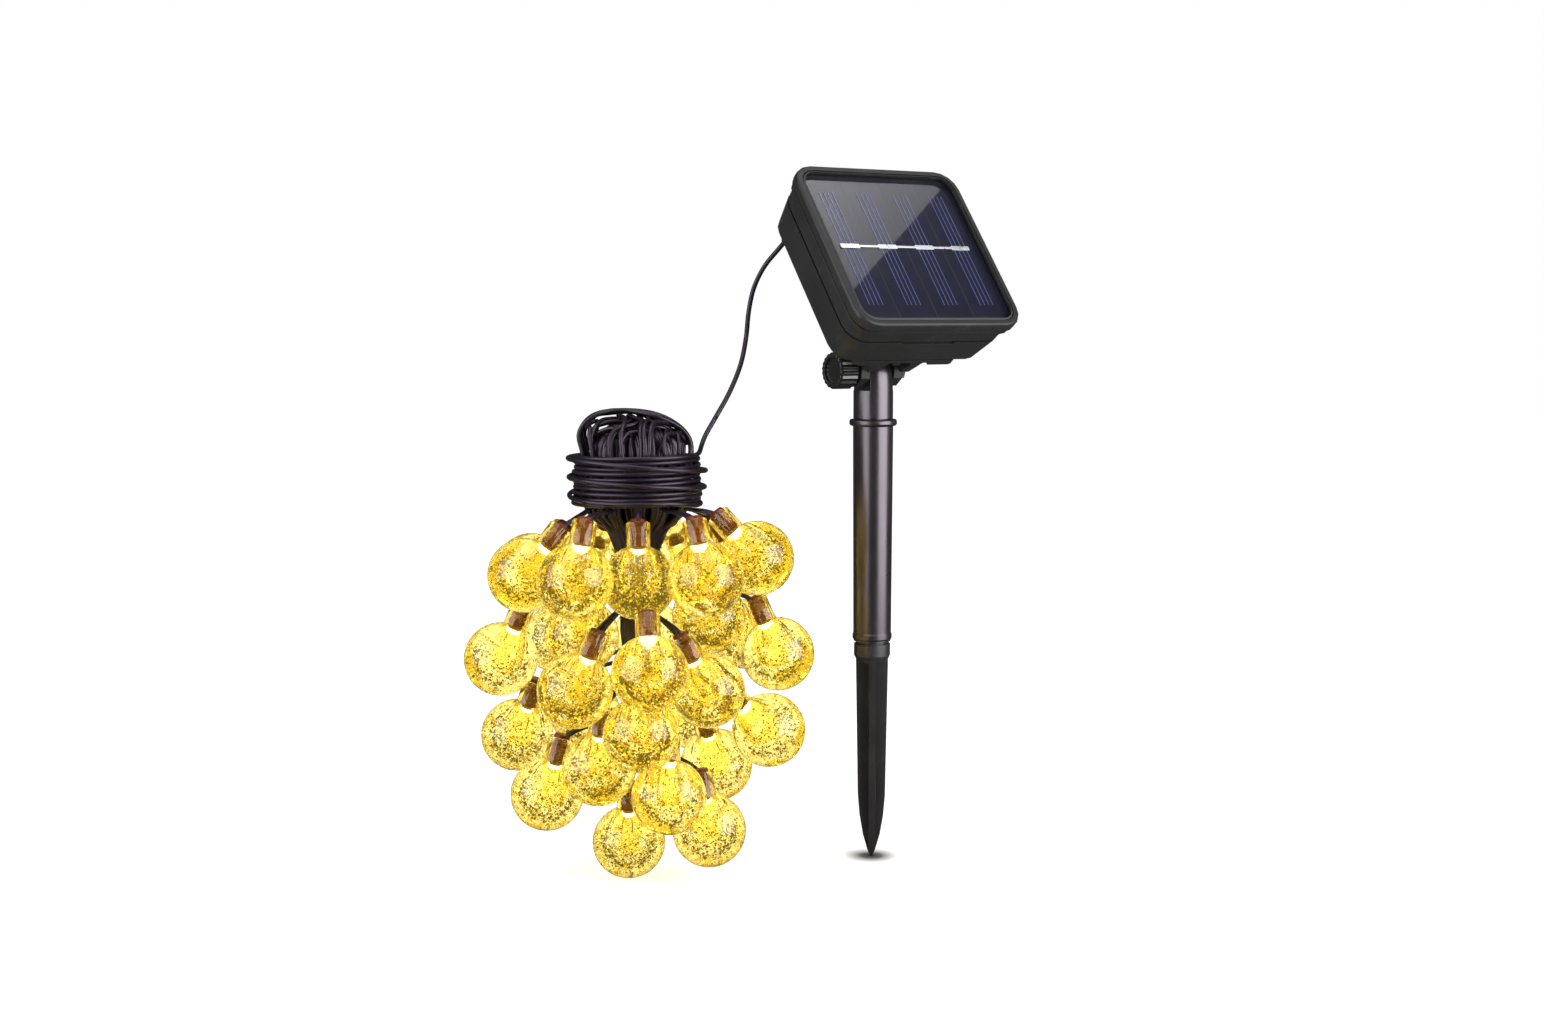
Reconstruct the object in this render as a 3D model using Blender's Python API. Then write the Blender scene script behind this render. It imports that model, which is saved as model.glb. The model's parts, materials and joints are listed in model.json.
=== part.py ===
"""Solar string lights: a panel head on a ground stake, with the light string bundled beside it.

World frame: metres, +Z up, -Y towards the viewer, origin at the tip of the ground spike.
Head frame: origin on the tilt axis, x along the panel's width, y up its face, z out of it.
Lengths below are in millimetres and are scaled by MM where a mesh or a placement is made.
"""
import math

import bmesh
import bpy
from mathutils import Matrix, Vector

MM = 0.001
GAP = 0.3                      # clearance between neighbouring pieces

# Stake
HINGE_Z = 187.0                # height of the tilt axis over the spike's tip
SPIKE_TOP = 83.0
SPIKE_WIDTH = 12.2
FIN_THICKNESS = 2.6
TUBE_RADIUS = 7.6
TUBE_BORE = 6.3
TUBE_BOTTOM = 84.0
TUBE_TOP = 168.5
COLLAR_RADIUS = 9.0
PIVOT_RADIUS = 7.5
TONGUE_HALF = 5.2              # half width of the pivot's tongue, between the ears

# Head
HEAD_YAW = 33.0                # degrees, turned to the right
HEAD_TIP = 52.0                # degrees, tipped forward from lying flat
FACE_CENTRE = 22.8             # panel centre above the tilt axis, along y
LID_HALF = 37.0
BODY_HALF = 35.4
REAR_HALF = 33.6
CORNER = 8.5
FRONT_Z = 45.7
PANEL_FLOOR = 42.6
LID_BACK = 34.2
RIM_Z = 33.1
REAR_Z = 19.7
WALL = 2.0
REAR_WALL = 2.4

# Bracket and clamp
EAR_INNER = 5.5
EAR_OUTER = 9.5
EAR_RADIUS = 6.3
PLATE_BACK = 16.7
BOLT_RADIUS = 2.0
KNOB_RADIUS = 7.0
KNOB_GRIPS = 20
KNURL_DEPTH = 0.5

# Small pieces of the head, placed in the head frame
BATTERY_RADIUS = 7.1
SCREW_RADIUS = 1.2
SCREW_HOLE_RADIUS = 1.5
BUTTON_RADIUS = 3.4
GLAND_RADIUS = 1.9
CELL_STRIPS = 4
CELL_WIDTH = 16.3
CELL_HALF_LENGTH = 31.5
SCREW_PLACES = [(-27.0, 4.8), (27.0, 4.8), (-27.0, 40.8), (27.0, 40.8)]
BUTTON_PLACES = {"power_button": (-8.0, 42.0), "mode_button": (8.0, 42.0)}
GLAND_PLACE = (-26.6, 50.4)

# Light bundle
BUNDLE = Vector((-87.5, -28.0, 0.0))
GLOBE_RADIUS = 13.4
NECK_RADIUS = 4.4
NECK_TOP = 21.5
NECK_BORE = 3.3
WIRE_RADIUS = 1.1
NECK_ROOT = 135.0              # height where the bulbs' wires enter the neck, at the most
STEM_ROOT = 42.0               # height where the wires of the bulbs under the stem enter it
CORD_DIAMETER = 1.8
WINDING = (21.4, 25.2, 138.0, 158.0)      # inner and outer radius, bottom and top

# The bulbs hang unevenly, so each has its own place round the bundle's axis:
# bearing in degrees (0 to the front, + to the right), reach, height, lean of the neck inwards.
BULB_TIERS = {
    "top": [(-65, 43, 115, 40), (-24, 46, 116, 20), (5, 23, 113, 10), (35, 46, 116, 20),
            (69, 47, 121, 45), (116, 43, 116, 40), (160, 44, 113, 40), (-152, 44, 112, 40),
            (-112, 44, 113, 40)],
    "upper": [(-81, 50, 83, 25), (-50, 25, 93, 20), (66, 29, 99, 25), (81, 52, 85, 25),
              (8, 56, 86, 30), (128, 50, 86, 40), (178, 42, 84, 25), (-135, 46, 84, 35)],
    "middle": [(-27, 43, 77, 25), (44, 38, 75, 25), (5, 42, 62, 20), (-98, 46, 52, 20),
               (74, 50, 58, 50), (150, 32, 56, 15), (-140, 34, 56, 15)],
    "lower": [(100, 29, 41, 15), (-76, 34, 33, 15), (-28, 27, 46, 5), (21, 36, 38, 20),
              (62, 30, 21, 10), (-45, 5, 14, 0)],
}
# A few necks turn aside to clear the globe above them: bulb number to degrees.
NECK_TURN = {10: 15, 13: -15, 15: -15, 18: -30, 19: 45, 28: -15}
# Height that a bulb's wires gain on their way from the neck to the stem, where it isn't 2.
WIRE_RISE = {13: 20, 14: -18, 18: 8}

# The lead's free stretch, from the gland behind the head to the top of the winding.
LEAD_ROUTE = [(-36, 5, 232), (-41, 8, 226), (-45, 8, 218), (-47, 6, 209), (-48, 2, 199),
              (-50, -3, 189), (-54, -9, 179), (-59, -15, 170), (-63, -20, 163)]
LEAD_BEARING = 104             # degrees, where the lead meets the winding


# ---------------------------------------------------------------- helpers

def clear_scene():
    for obj in list(bpy.data.objects):
        bpy.data.objects.remove(obj, do_unlink=True)


def plastic(name, colour, roughness, metallic=0.0, alpha=1.0):
    """A Principled material in one plain colour."""
    mat = bpy.data.materials.new(name)
    mat.use_nodes = True
    shader = mat.node_tree.nodes["Principled BSDF"]
    shader.inputs["Base Color"].default_value = (*colour, 1.0)
    shader.inputs["Roughness"].default_value = roughness
    shader.inputs["Metallic"].default_value = metallic
    shader.inputs["Alpha"].default_value = alpha
    mat.diffuse_color = (*colour, alpha)
    return mat


def add_object(name, mesh, material, parent=None):
    obj = bpy.data.objects.new(name, mesh)
    bpy.context.scene.collection.objects.link(obj)
    if material and not mesh.materials:
        mesh.materials.append(material)
    obj.parent = parent
    return obj


def finish_mesh(name, bm):
    """Turn a bmesh in millimetres into a smooth-shaded mesh in metres, facing out."""
    bmesh.ops.scale(bm, vec=(MM, MM, MM), verts=bm.verts)
    bmesh.ops.recalc_face_normals(bm, faces=bm.faces)
    mesh = bpy.data.meshes.new(name)
    bm.to_mesh(mesh)
    bm.free()
    mesh.shade_smooth()
    mesh.set_sharp_from_angle(angle=math.radians(35))
    return mesh


def loft_mesh(name, rings):
    """A closed solid through rings of equal point count, capped at both ends."""
    bm = bmesh.new()
    loops = [[bm.verts.new(point) for point in ring] for ring in rings]
    for low, high in zip(loops, loops[1:]):
        for i in range(len(low)):
            j = (i + 1) % len(low)
            bm.faces.new((low[i], low[j], high[j], high[i]))
    bm.faces.new(loops[0])
    bm.faces.new(loops[-1])
    return finish_mesh(name, bm)


def turned_mesh(name, profile, steps):
    """A solid of revolution about z. A profile of (radius, height) that starts and ends on
    the axis makes a plug; one that never meets the axis is closed into a ring."""
    bm = bmesh.new()
    loops = []
    for radius, height in profile:
        if radius < 1e-6:
            loops.append([bm.verts.new((0, 0, height))])
            continue
        angles = [2 * math.pi * i / steps for i in range(steps)]
        loops.append([bm.verts.new((radius * math.cos(a), radius * math.sin(a), height))
                      for a in angles])
    pairs = list(zip(loops, loops[1:]))
    if len(loops[0]) > 1:
        pairs.append((loops[-1], loops[0]))
    for low, high in pairs:
        for i in range(steps):
            j = (i + 1) % steps
            corners = [low[i % len(low)], low[j % len(low)],
                       high[j % len(high)], high[i % len(high)]]
            bm.faces.new(list(dict.fromkeys(corners)))
    return finish_mesh(name, bm)


def prism_mesh(name, outline, axis, start, end):
    """Extrude a closed outline of 2-D points along one axis, from start to end."""
    order = {"x": lambda a, b, t: (t, a, b), "y": lambda a, b, t: (a, t, b),
             "z": lambda a, b, t: (a, b, t)}[axis]
    return loft_mesh(name, [[order(a, b, t) for a, b in outline] for t in (start, end)])


def rounded_outline(half_x, half_y, radius, centre=(0.0, 0.0), steps=4):
    """A rounded rectangle, counter-clockwise, with steps segments in each corner."""
    points = []
    corners = [(1, 1, 0), (-1, 1, 90), (-1, -1, 180), (1, -1, 270)]
    for side_x, side_y, start in corners:
        for i in range(steps + 1):
            angle = math.radians(start + 90 * i / steps)
            points.append((centre[0] + side_x * (half_x - radius) + radius * math.cos(angle),
                           centre[1] + side_y * (half_y - radius) + radius * math.sin(angle)))
    return points


def box_outline(x0, x1, y0, y1):
    return [(x0, y0), (x1, y0), (x1, y1), (x0, y1)]


def regular_outline(sides, radius, turn=0.0):
    angles = [math.radians(turn) + 2 * math.pi * i / sides for i in range(sides)]
    return [(radius * math.cos(a), radius * math.sin(a)) for a in angles]


def box_mesh(name, low, high):
    return prism_mesh(name, box_outline(low[0], high[0], low[1], high[1]), "z", low[2], high[2])


def tool(name, mesh, parent=None):
    """A guide shape that a Boolean uses; it isn't part of the model."""
    obj = add_object(name, mesh, None, parent)
    obj.hide_render = True
    obj.display_type = "WIRE"
    return obj


def combine(target, operation, operand):
    modifier = target.modifiers.new(f"{operation.lower()} {operand.name}", "BOOLEAN")
    modifier.operation = operation
    modifier.object = operand
    modifier.solver = "EXACT"
    return modifier


def aim(obj, place, direction):
    """Put an object at a place in millimetres with its z along a direction."""
    turn = Vector(direction).to_track_quat("Z", "Y").to_matrix().to_4x4()
    obj.matrix_basis = Matrix.Translation(Vector(place) * MM) @ turn


# ---------------------------------------------------------------- materials

def make_materials():
    return {
        "housing": plastic("housing", (0.030, 0.030, 0.031), 0.45),
        "tube": plastic("tube", (0.055, 0.048, 0.058), 0.25),
        "spike": plastic("spike", (0.035, 0.036, 0.038), 0.5),
        "knob": plastic("knob", (0.015, 0.015, 0.015), 0.5),
        "steel": plastic("steel", (0.55, 0.55, 0.56), 0.3, metallic=1.0),
        "cell": plastic("cell", (0.012, 0.014, 0.040), 0.2),
        "ribbon": plastic("ribbon", (0.75, 0.76, 0.80), 0.35, metallic=0.8),
        "resin": plastic("resin", (0.05, 0.05, 0.07), 0.05, alpha=0.35),
        "rubber": plastic("rubber", (0.02, 0.02, 0.02), 0.7),
        "board": plastic("board", (0.02, 0.12, 0.05), 0.5),
        "battery": plastic("battery", (0.10, 0.32, 0.16), 0.4),
        "cord": plastic("cord", (0.016, 0.014, 0.020), 0.45),
        "globe": plastic("globe", (0.95, 0.66, 0.08), 0.08, alpha=0.5),
    }


# ---------------------------------------------------------------- stake

def make_spike(mats):
    """A cross-finned spike under a turned head, which has a plug for the tube."""
    fin_levels = [(0.0, 0.4), (3.0, 1.6), (9.0, 3.3), (16.0, 4.5), (24.0, 5.2),
                  (52.0, 5.7), (78.5, SPIKE_WIDTH / 2)]
    half = FIN_THICKNESS / 2
    blades = []
    for name, turn in (("spike_fin_x", 0.0), ("spike_fin_y", 90.0)):
        rings = [[(-w, -min(half, w), z), (w, -min(half, w), z),
                  (w, min(half, w), z), (-w, min(half, w), z)] for z, w in fin_levels]
        if turn:
            rings = [[(-y, x, z) for x, y, z in ring] for ring in rings]
        blades.append(loft_mesh(name, rings))
    spike = add_object("ground_spike", blades[0], mats["spike"])
    combine(spike, "UNION", tool("spike_fin_tool", blades[1]))
    head = [(0.0, 76.0), (5.6, 76.0), (6.9, 78.5), (6.9, SPIKE_TOP), (6.0, SPIKE_TOP),
            (6.0, 96.0), (5.2, 97.0), (0.0, 97.0)]
    combine(spike, "UNION", tool("spike_head_tool", turned_mesh("spike_head", head, 24)))
    return spike


def make_tube(mats):
    """The stake's tube, with a bead near its foot and a flanged mouth."""
    profile = [(TUBE_BORE, TUBE_BOTTOM), (7.1, TUBE_BOTTOM), (7.1, 84.6), (7.5, 85.0),
               (7.5, 86.8), (7.2, 87.2), (7.3, 120.0), (TUBE_RADIUS, TUBE_TOP - 2.6),
               (COLLAR_RADIUS - 0.4, TUBE_TOP - 2.4), (COLLAR_RADIUS, TUBE_TOP - 1.8),
               (COLLAR_RADIUS, TUBE_TOP - 0.6), (COLLAR_RADIUS - 0.4, TUBE_TOP),
               (TUBE_BORE, TUBE_TOP)]
    return add_object("stake_tube", turned_mesh("stake_tube", profile, 24), mats["tube"])


def make_pivot(mats, swivel):
    """The head's socket: a spigot in the tube, a round body and a flat-sided tongue."""
    base = TUBE_TOP + GAP
    profile = [(0.0, 157.0), (5.4, 157.0), (6.0, 158.0), (6.0, base), (PIVOT_RADIUS, base),
               (PIVOT_RADIUS, 181.5), (7.2, 186.0), (6.4, 190.0), (4.6, 193.0), (0.0, 194.4)]
    pivot = add_object("pivot_socket", turned_mesh("pivot_socket", profile, 32),
                       mats["tube"], swivel)
    pivot.location = (0, 0, -HINGE_Z * MM)
    for side in (-1, 1):
        xs = sorted((side * TONGUE_HALF, side * 12.0))
        flat = box_mesh("tongue_flat", (xs[0], -12, -7.6), (xs[1], 12, 12))
        combine(pivot, "DIFFERENCE", tool(f"tongue_flat_{side + 1}", flat, swivel))
    bore = prism_mesh("tongue_bore", regular_outline(16, BOLT_RADIUS + GAP), "x", -8, 8)
    combine(pivot, "DIFFERENCE", tool("tongue_bore", bore, swivel))
    return pivot


# ---------------------------------------------------------------- bracket and clamp

def make_bracket(mats, head):
    """A plate on the housing's back with two ears that hold the pivot's tongue."""
    outline = rounded_outline(23.0, 10.3, 3.0, steps=3)
    plate = prism_mesh("hinge_bracket", outline, "z", PLATE_BACK, REAR_Z - GAP)
    bracket = add_object("hinge_bracket", plate, mats["housing"], head)
    end = [(EAR_RADIUS * math.sin(a), EAR_RADIUS * math.cos(a))
           for a in [math.radians(d) for d in (157.5, 202.5, 247.5, 292.5, 337.5, 22.5)]]
    foot = [(6.3, 7.0), (9.4, PLATE_BACK + 1), (-9.4, PLATE_BACK + 1), (-6.3, 7.0)]
    ear = sorted(end + foot, key=lambda point: math.atan2(point[1] - 6.0, point[0]))
    for side in (-1, 1):
        ends = sorted((side * EAR_INNER, side * EAR_OUTER))
        mesh = prism_mesh("ear", ear, "x", ends[0], ends[1])
        combine(bracket, "UNION", tool(f"bracket_ear_{side + 1}", mesh, head))
    bore = prism_mesh("ear_bore", regular_outline(16, BOLT_RADIUS + GAP), "x", -12, 12)
    combine(bracket, "DIFFERENCE", tool("ear_bore", bore, head))
    for i in range(3):
        middle = -8.0 + 8.0 * i
        notch = box_mesh("plate_notch", (middle - 2.4, -12, PLATE_BACK - 1),
                         (middle + 2.4, -9.3, PLATE_BACK + 1.2))
        combine(bracket, "DIFFERENCE", tool(f"plate_notch_{i}", notch, head))
    return bracket


def knob_ring(scale, height):
    """The knob's knurled outline at one height, scaled."""
    points = []
    for i in range(KNOB_GRIPS * 2):
        angle = math.pi * i / KNOB_GRIPS
        radius = scale * (KNOB_RADIUS if i % 2 else KNOB_RADIUS - KNURL_DEPTH)
        points.append((radius * math.cos(angle), radius * math.sin(angle), height))
    return points


def make_clamp(mats, head):
    """Hex bolt through the ears, with a washer and a knurled knob on its end."""
    shank = prism_mesh("clamp_bolt", regular_outline(16, BOLT_RADIUS), "x", -17.0, 10.2)
    bolt = add_object("clamp_bolt", shank, mats["steel"], head)
    hexagon = prism_mesh("bolt_head", regular_outline(6, 4.0), "x", EAR_OUTER + GAP, 12.6)
    combine(bolt, "UNION", tool("bolt_head_tool", hexagon, head))

    washer_profile = [(2.3, EAR_OUTER + GAP), (4.6, EAR_OUTER + GAP), (4.6, 10.6), (2.3, 10.6)]
    washer = add_object("clamp_washer", turned_mesh("clamp_washer", washer_profile, 20),
                        mats["steel"], head)
    aim(washer, (0, 0, 0), (-1, 0, 0))

    rings = [knob_ring(scale, height) for scale, height in
             ((0.90, 10.9), (1.0, 11.6), (1.0, 18.4), (0.92, 19.2), (0.72, 19.2), (0.68, 17.9))]
    knob = add_object("clamp_knob", loft_mesh("clamp_knob", rings), mats["knob"], head)
    aim(knob, (0, 0, 0), (-1, 0, 0))
    bore = prism_mesh("knob_bore", regular_outline(12, BOLT_RADIUS + GAP), "x", -17.3, -10)
    combine(knob, "DIFFERENCE", tool("knob_bore", bore, head))


# ---------------------------------------------------------------- head housing

def head_ring(half, radius, height):
    outline = rounded_outline(half, half, radius, (0.0, FACE_CENTRE))
    return [(x, y, height) for x, y in outline]


def make_rear_housing(mats, head):
    """The rear shell: drafted walls, screw holes, battery ribs and a pry slot in the rim."""
    inner_floor = REAR_Z + REAR_WALL
    rings = [head_ring(REAR_HALF - 0.8, CORNER - 1.2, REAR_Z),
             head_ring(REAR_HALF, CORNER - 0.6, REAR_Z + 0.9),
             head_ring(BODY_HALF, CORNER, RIM_Z),
             head_ring(BODY_HALF - WALL, CORNER - WALL, RIM_Z),
             head_ring(REAR_HALF - WALL, CORNER - WALL - 0.5, inner_floor)]
    housing = add_object("rear_housing", loft_mesh("rear_housing", rings),
                         mats["housing"], head)
    for side in (-1, 1):
        ends = sorted((side * 27.8, side * 29.3))
        rib = box_mesh("battery_rib", (ends[0], FACE_CENTRE - 7, inner_floor - 1),
                       (ends[1], FACE_CENTRE + 7, 31.0))
        combine(housing, "UNION", tool(f"battery_rib_{side + 1}", rib, head))
    for i, (x, y) in enumerate(SCREW_PLACES):
        stepped = [(0, REAR_Z - 1), (2.7, REAR_Z - 1), (2.7, REAR_Z + 1.5),
                   (SCREW_HOLE_RADIUS, REAR_Z + 1.5), (SCREW_HOLE_RADIUS, inner_floor + 1),
                   (0, inner_floor + 1)]
        hole = tool(f"screw_hole_{i}", turned_mesh("screw_hole", stepped, 16), head)
        aim(hole, (x, y, 0), (0, 0, 1))
        combine(housing, "DIFFERENCE", hole)
    for name, (x, y) in BUTTON_PLACES.items():
        outline = [(x + a, y + b) for a, b in regular_outline(20, BUTTON_RADIUS + GAP)]
        hole = prism_mesh("button_hole", outline, "z", REAR_Z - 1, inner_floor + 1)
        combine(housing, "DIFFERENCE", tool(f"{name}_hole", hole, head))
    outline = [(GLAND_PLACE[0] + a, GLAND_PLACE[1] + b)
               for a, b in regular_outline(16, GLAND_RADIUS + GAP)]
    hole = prism_mesh("gland_hole", outline, "z", REAR_Z - 1, inner_floor + 1)
    combine(housing, "DIFFERENCE", tool("gland_hole", hole, head))
    low = FACE_CENTRE - BODY_HALF
    slot = box_mesh("pry_slot", (-12, low - 1, RIM_Z - 0.9), (12, low + 1.3, RIM_Z + 1))
    combine(housing, "DIFFERENCE", tool("pry_slot", slot, head))
    return housing


def make_front_cover(mats, head):
    """The front shell: a stepped rim round the panel's recess, and four screw posts."""
    rings = [head_ring(34.6, CORNER - 2.2, PANEL_FLOOR),
             head_ring(34.6, CORNER - 2.2, FRONT_Z),
             head_ring(LID_HALF - 0.9, CORNER - 0.6, FRONT_Z),
             head_ring(LID_HALF - 0.25, CORNER, FRONT_Z - 0.4),
             head_ring(LID_HALF, CORNER, FRONT_Z - 1.2),
             head_ring(LID_HALF, CORNER, 41.6),
             head_ring(LID_HALF - 1.3, CORNER - 0.6, 41.5),
             head_ring(LID_HALF - 1.3, CORNER - 0.6, 40.7),
             head_ring(LID_HALF - 0.6, CORNER - 0.2, 40.6),
             head_ring(LID_HALF - 0.6, CORNER - 0.2, 39.2),
             head_ring(BODY_HALF + 0.2, CORNER, 38.9),
             head_ring(BODY_HALF, CORNER, LID_BACK),
             head_ring(BODY_HALF - WALL, CORNER - WALL, LID_BACK),
             head_ring(BODY_HALF - WALL, CORNER - WALL, PANEL_FLOOR - 2.0)]
    cover = add_object("front_cover", loft_mesh("front_cover", rings), mats["housing"], head)
    post_end = REAR_Z + REAR_WALL + GAP
    for i, (x, y) in enumerate(SCREW_PLACES):
        profile = [(0, 32.0), (SCREW_HOLE_RADIUS, 32.0), (SCREW_HOLE_RADIUS, post_end),
                   (2.6, post_end), (2.6, PANEL_FLOOR - 1.5), (0, PANEL_FLOOR - 1.5)]
        post = tool(f"cover_post_{i}", turned_mesh("cover_post", profile, 12), head)
        aim(post, (x, y, 0), (0, 0, 1))
        combine(cover, "UNION", post)
    return cover


def make_gasket(mats, head):
    """A flat rubber frame between the two shells."""
    low, high = RIM_Z + GAP, LID_BACK - GAP
    outer = BODY_HALF - 0.5
    inner = BODY_HALF - WALL + 0.2
    rings = [head_ring(outer, CORNER - 0.5, low), head_ring(outer, CORNER - 0.5, high),
             head_ring(inner, CORNER - 1.8, high), head_ring(inner, CORNER - 1.8, low)]
    bm = bmesh.new()
    loops = [[bm.verts.new(point) for point in ring] for ring in rings]
    for low_loop, high_loop in zip(loops, loops[1:] + loops[:1]):
        for i in range(len(low_loop)):
            j = (i + 1) % len(low_loop)
            bm.faces.new((low_loop[i], low_loop[j], high_loop[j], high_loop[i]))
    add_object("cover_gasket", finish_mesh("cover_gasket", bm), mats["rubber"], head)


def make_panel(mats, head):
    """Four cell strips under a soldered ribbon, sealed in a flush slab of clear resin."""
    pitch = CELL_WIDTH + 0.4
    cell_top = PANEL_FLOOR + 0.8
    low = cell_top + GAP
    ribbon = []
    for i in range(CELL_STRIPS):
        x = (i - (CELL_STRIPS - 1) / 2) * pitch
        low_corner = (x - CELL_WIDTH / 2, FACE_CENTRE - CELL_HALF_LENGTH, PANEL_FLOOR + GAP)
        high_corner = (x + CELL_WIDTH / 2, FACE_CENTRE + CELL_HALF_LENGTH, cell_top)
        mesh = box_mesh("solar_cell", low_corner, high_corner)
        add_object(f"solar_cell_{i + 1}", mesh, mats["cell"], head)
        ribbon += [(x - 4.2, 0.45), (x - 4.0, 0.95), (x + 4.0, 0.95), (x + 4.2, 0.45)]
    outline = ribbon + [(x, -y) for x, y in reversed(ribbon)]
    outline = [(x, FACE_CENTRE + 0.6 + y) for x, y in outline]
    mesh = prism_mesh("cell_ribbon", outline, "z", low, low + 0.15)
    add_object("cell_ribbon", mesh, mats["ribbon"], head)
    rings = [head_ring(34.3, CORNER - 2.4, low + 0.45),
             head_ring(34.3, CORNER - 2.4, FRONT_Z - 0.35),
             head_ring(33.7, CORNER - 2.8, FRONT_Z - 0.1)]
    add_object("panel_resin", loft_mesh("panel_resin", rings), mats["resin"], head)


# ---------------------------------------------------------------- inside the head

def make_battery(mats, head):
    """A rechargeable cell across the housing, between a spring and a contact plate."""
    profile = [(0, -25.0), (6.4, -25.0), (BATTERY_RADIUS, -24.3), (BATTERY_RADIUS, 23.4),
               (6.4, 24.0), (2.7, 24.0), (2.7, 25.2), (0, 25.2)]
    battery = add_object("battery", turned_mesh("battery", profile, 24), mats["battery"], head)
    centre_z = REAR_Z + REAR_WALL + GAP + BATTERY_RADIUS
    aim(battery, (0, FACE_CENTRE, centre_z), (1, 0, 0))

    plate = box_mesh("battery_contact", (25.5, FACE_CENTRE - 4, centre_z - 5),
                     (26.1, FACE_CENTRE + 4, 31.0))
    contact = add_object("battery_contact", plate, mats["steel"], head)
    foot = box_mesh("contact_foot", (25.5, FACE_CENTRE - 4, 24.0), (27.5, FACE_CENTRE + 4, 24.6))
    combine(contact, "UNION", tool("contact_foot_tool", foot, head))

    turns, per_turn, rise = 2.2, 12, 0.8
    points = []
    for i in range(int(turns * per_turn) + 1):
        angle = 2 * math.pi * i / per_turn
        radius = 4.2 - 0.9 * i / per_turn
        points.append(Vector((-27.4 + rise * i / per_turn,
                              FACE_CENTRE + radius * math.cos(angle),
                              centre_z + radius * math.sin(angle))))
    spring = add_curve("battery_spring", points, 0.28, mats["steel"], 0, head)
    return spring


def add_curve(name, points, radius, material, resolution, parent=None):
    """A round tube along points in millimetres, with closed ends."""
    data = bpy.data.curves.new(name, "CURVE")
    data.dimensions = "3D"
    data.bevel_depth = radius * MM
    data.bevel_resolution = resolution
    data.use_fill_caps = True
    spline = data.splines.new("POLY")
    spline.points.add(len(points) - 1)
    for target, point in zip(spline.points, points):
        target.co = (*(Vector(point) * MM), 1.0)
    data.materials.append(material)
    obj = bpy.data.objects.new(name, data)
    bpy.context.scene.collection.objects.link(obj)
    obj.parent = parent
    return obj


def make_board(mats, head):
    """The charge and flash-mode board, with a tactile switch behind each button."""
    low, high = 25.5, 26.7
    board = add_object("circuit_board", box_mesh("circuit_board", (-18, 32.5, low),
                                                 (18, 51.5, high)), mats["board"], head)
    blocks = [(-3, 3, 38, 46, high - 0.2, 28.4), (8, 14, 36, 42, high - 0.2, 29.6),
              (-14, -10, 36, 40, high - 0.2, 28.0)]
    for x, y in BUTTON_PLACES.values():
        blocks.append((x - 2, x + 2, y - 2, y + 2, 24.3, low + 0.2))
    for i, (x0, x1, y0, y1, z0, z1) in enumerate(blocks):
        block = tool(f"board_block_{i}", box_mesh("board_block", (x0, y0, z0), (x1, y1, z1)),
                     head)
        combine(board, "UNION", block)


def make_buttons(mats, head):
    """Two push buttons that stand out of the back, each held in by an inner flange."""
    for name, (x, y) in BUTTON_PLACES.items():
        profile = [(0, 17.6), (BUTTON_RADIUS - 0.5, 17.6), (BUTTON_RADIUS, 18.1),
                   (BUTTON_RADIUS, 22.4), (4.5, 22.4), (4.5, 23.2), (0, 23.2)]
        button = add_object(name, turned_mesh(name, profile, 20), mats["rubber"], head)
        aim(button, (x, y, 0), (0, 0, 1))


def make_screws(mats, head):
    """Four pan-head screws from the back into the cover's posts."""
    for i, (x, y) in enumerate(SCREW_PLACES):
        top = REAR_Z + 0.1
        profile = [(0, top), (2.0, top), (2.4, top + 0.4), (2.4, top + 1.1),
                   (SCREW_RADIUS, top + 1.1), (SCREW_RADIUS, 30.8), (0, 31.2)]
        screw = add_object(f"housing_screw_{i + 1}", turned_mesh("housing_screw", profile, 12),
                           mats["steel"], head)
        aim(screw, (x, y, 0), (0, 0, 1))
        for j, (a, b) in enumerate(((1.5, 0.25), (0.25, 1.5))):
            arm = box_mesh("screw_recess", (x - a, y - b, top - 1), (x + a, y + b, top + 0.55))
            combine(screw, "DIFFERENCE", tool(f"screw_recess_{i}_{j}", arm, head))


def make_gland(mats, head):
    """A moulded grommet in the back wall, with a short tapered tail round the lead."""
    profile = [(1.2, 24.0), (1.2, 13.6), (1.5, 13.6), (2.1, 18.2), (2.8, 18.2), (2.8, 19.4),
               (GLAND_RADIUS, 19.4), (GLAND_RADIUS, 24.0)]
    gland = add_object("cable_gland", turned_mesh("cable_gland", profile, 16),
                       mats["rubber"], head)
    aim(gland, (*GLAND_PLACE, 0), (0, 0, 1))


# ---------------------------------------------------------------- light bundle

def bulb_rows():
    return [row for tier in BULB_TIERS.values() for row in tier]


def bulb_axis(number, row):
    """A globe's centre, and the direction in which its neck points."""
    bearing, reach, height, lean = row
    angle = math.radians(bearing)
    outward = Vector((math.sin(angle), -math.cos(angle), 0.0))
    centre = BUNDLE + outward * reach + Vector((0, 0, height))
    inward = Matrix.Rotation(math.radians(NECK_TURN.get(number, 0)), 3, "Z") @ -outward
    lean = math.radians(lean)
    return centre, inward * math.sin(lean) + Vector((0, 0, math.cos(lean)))


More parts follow.
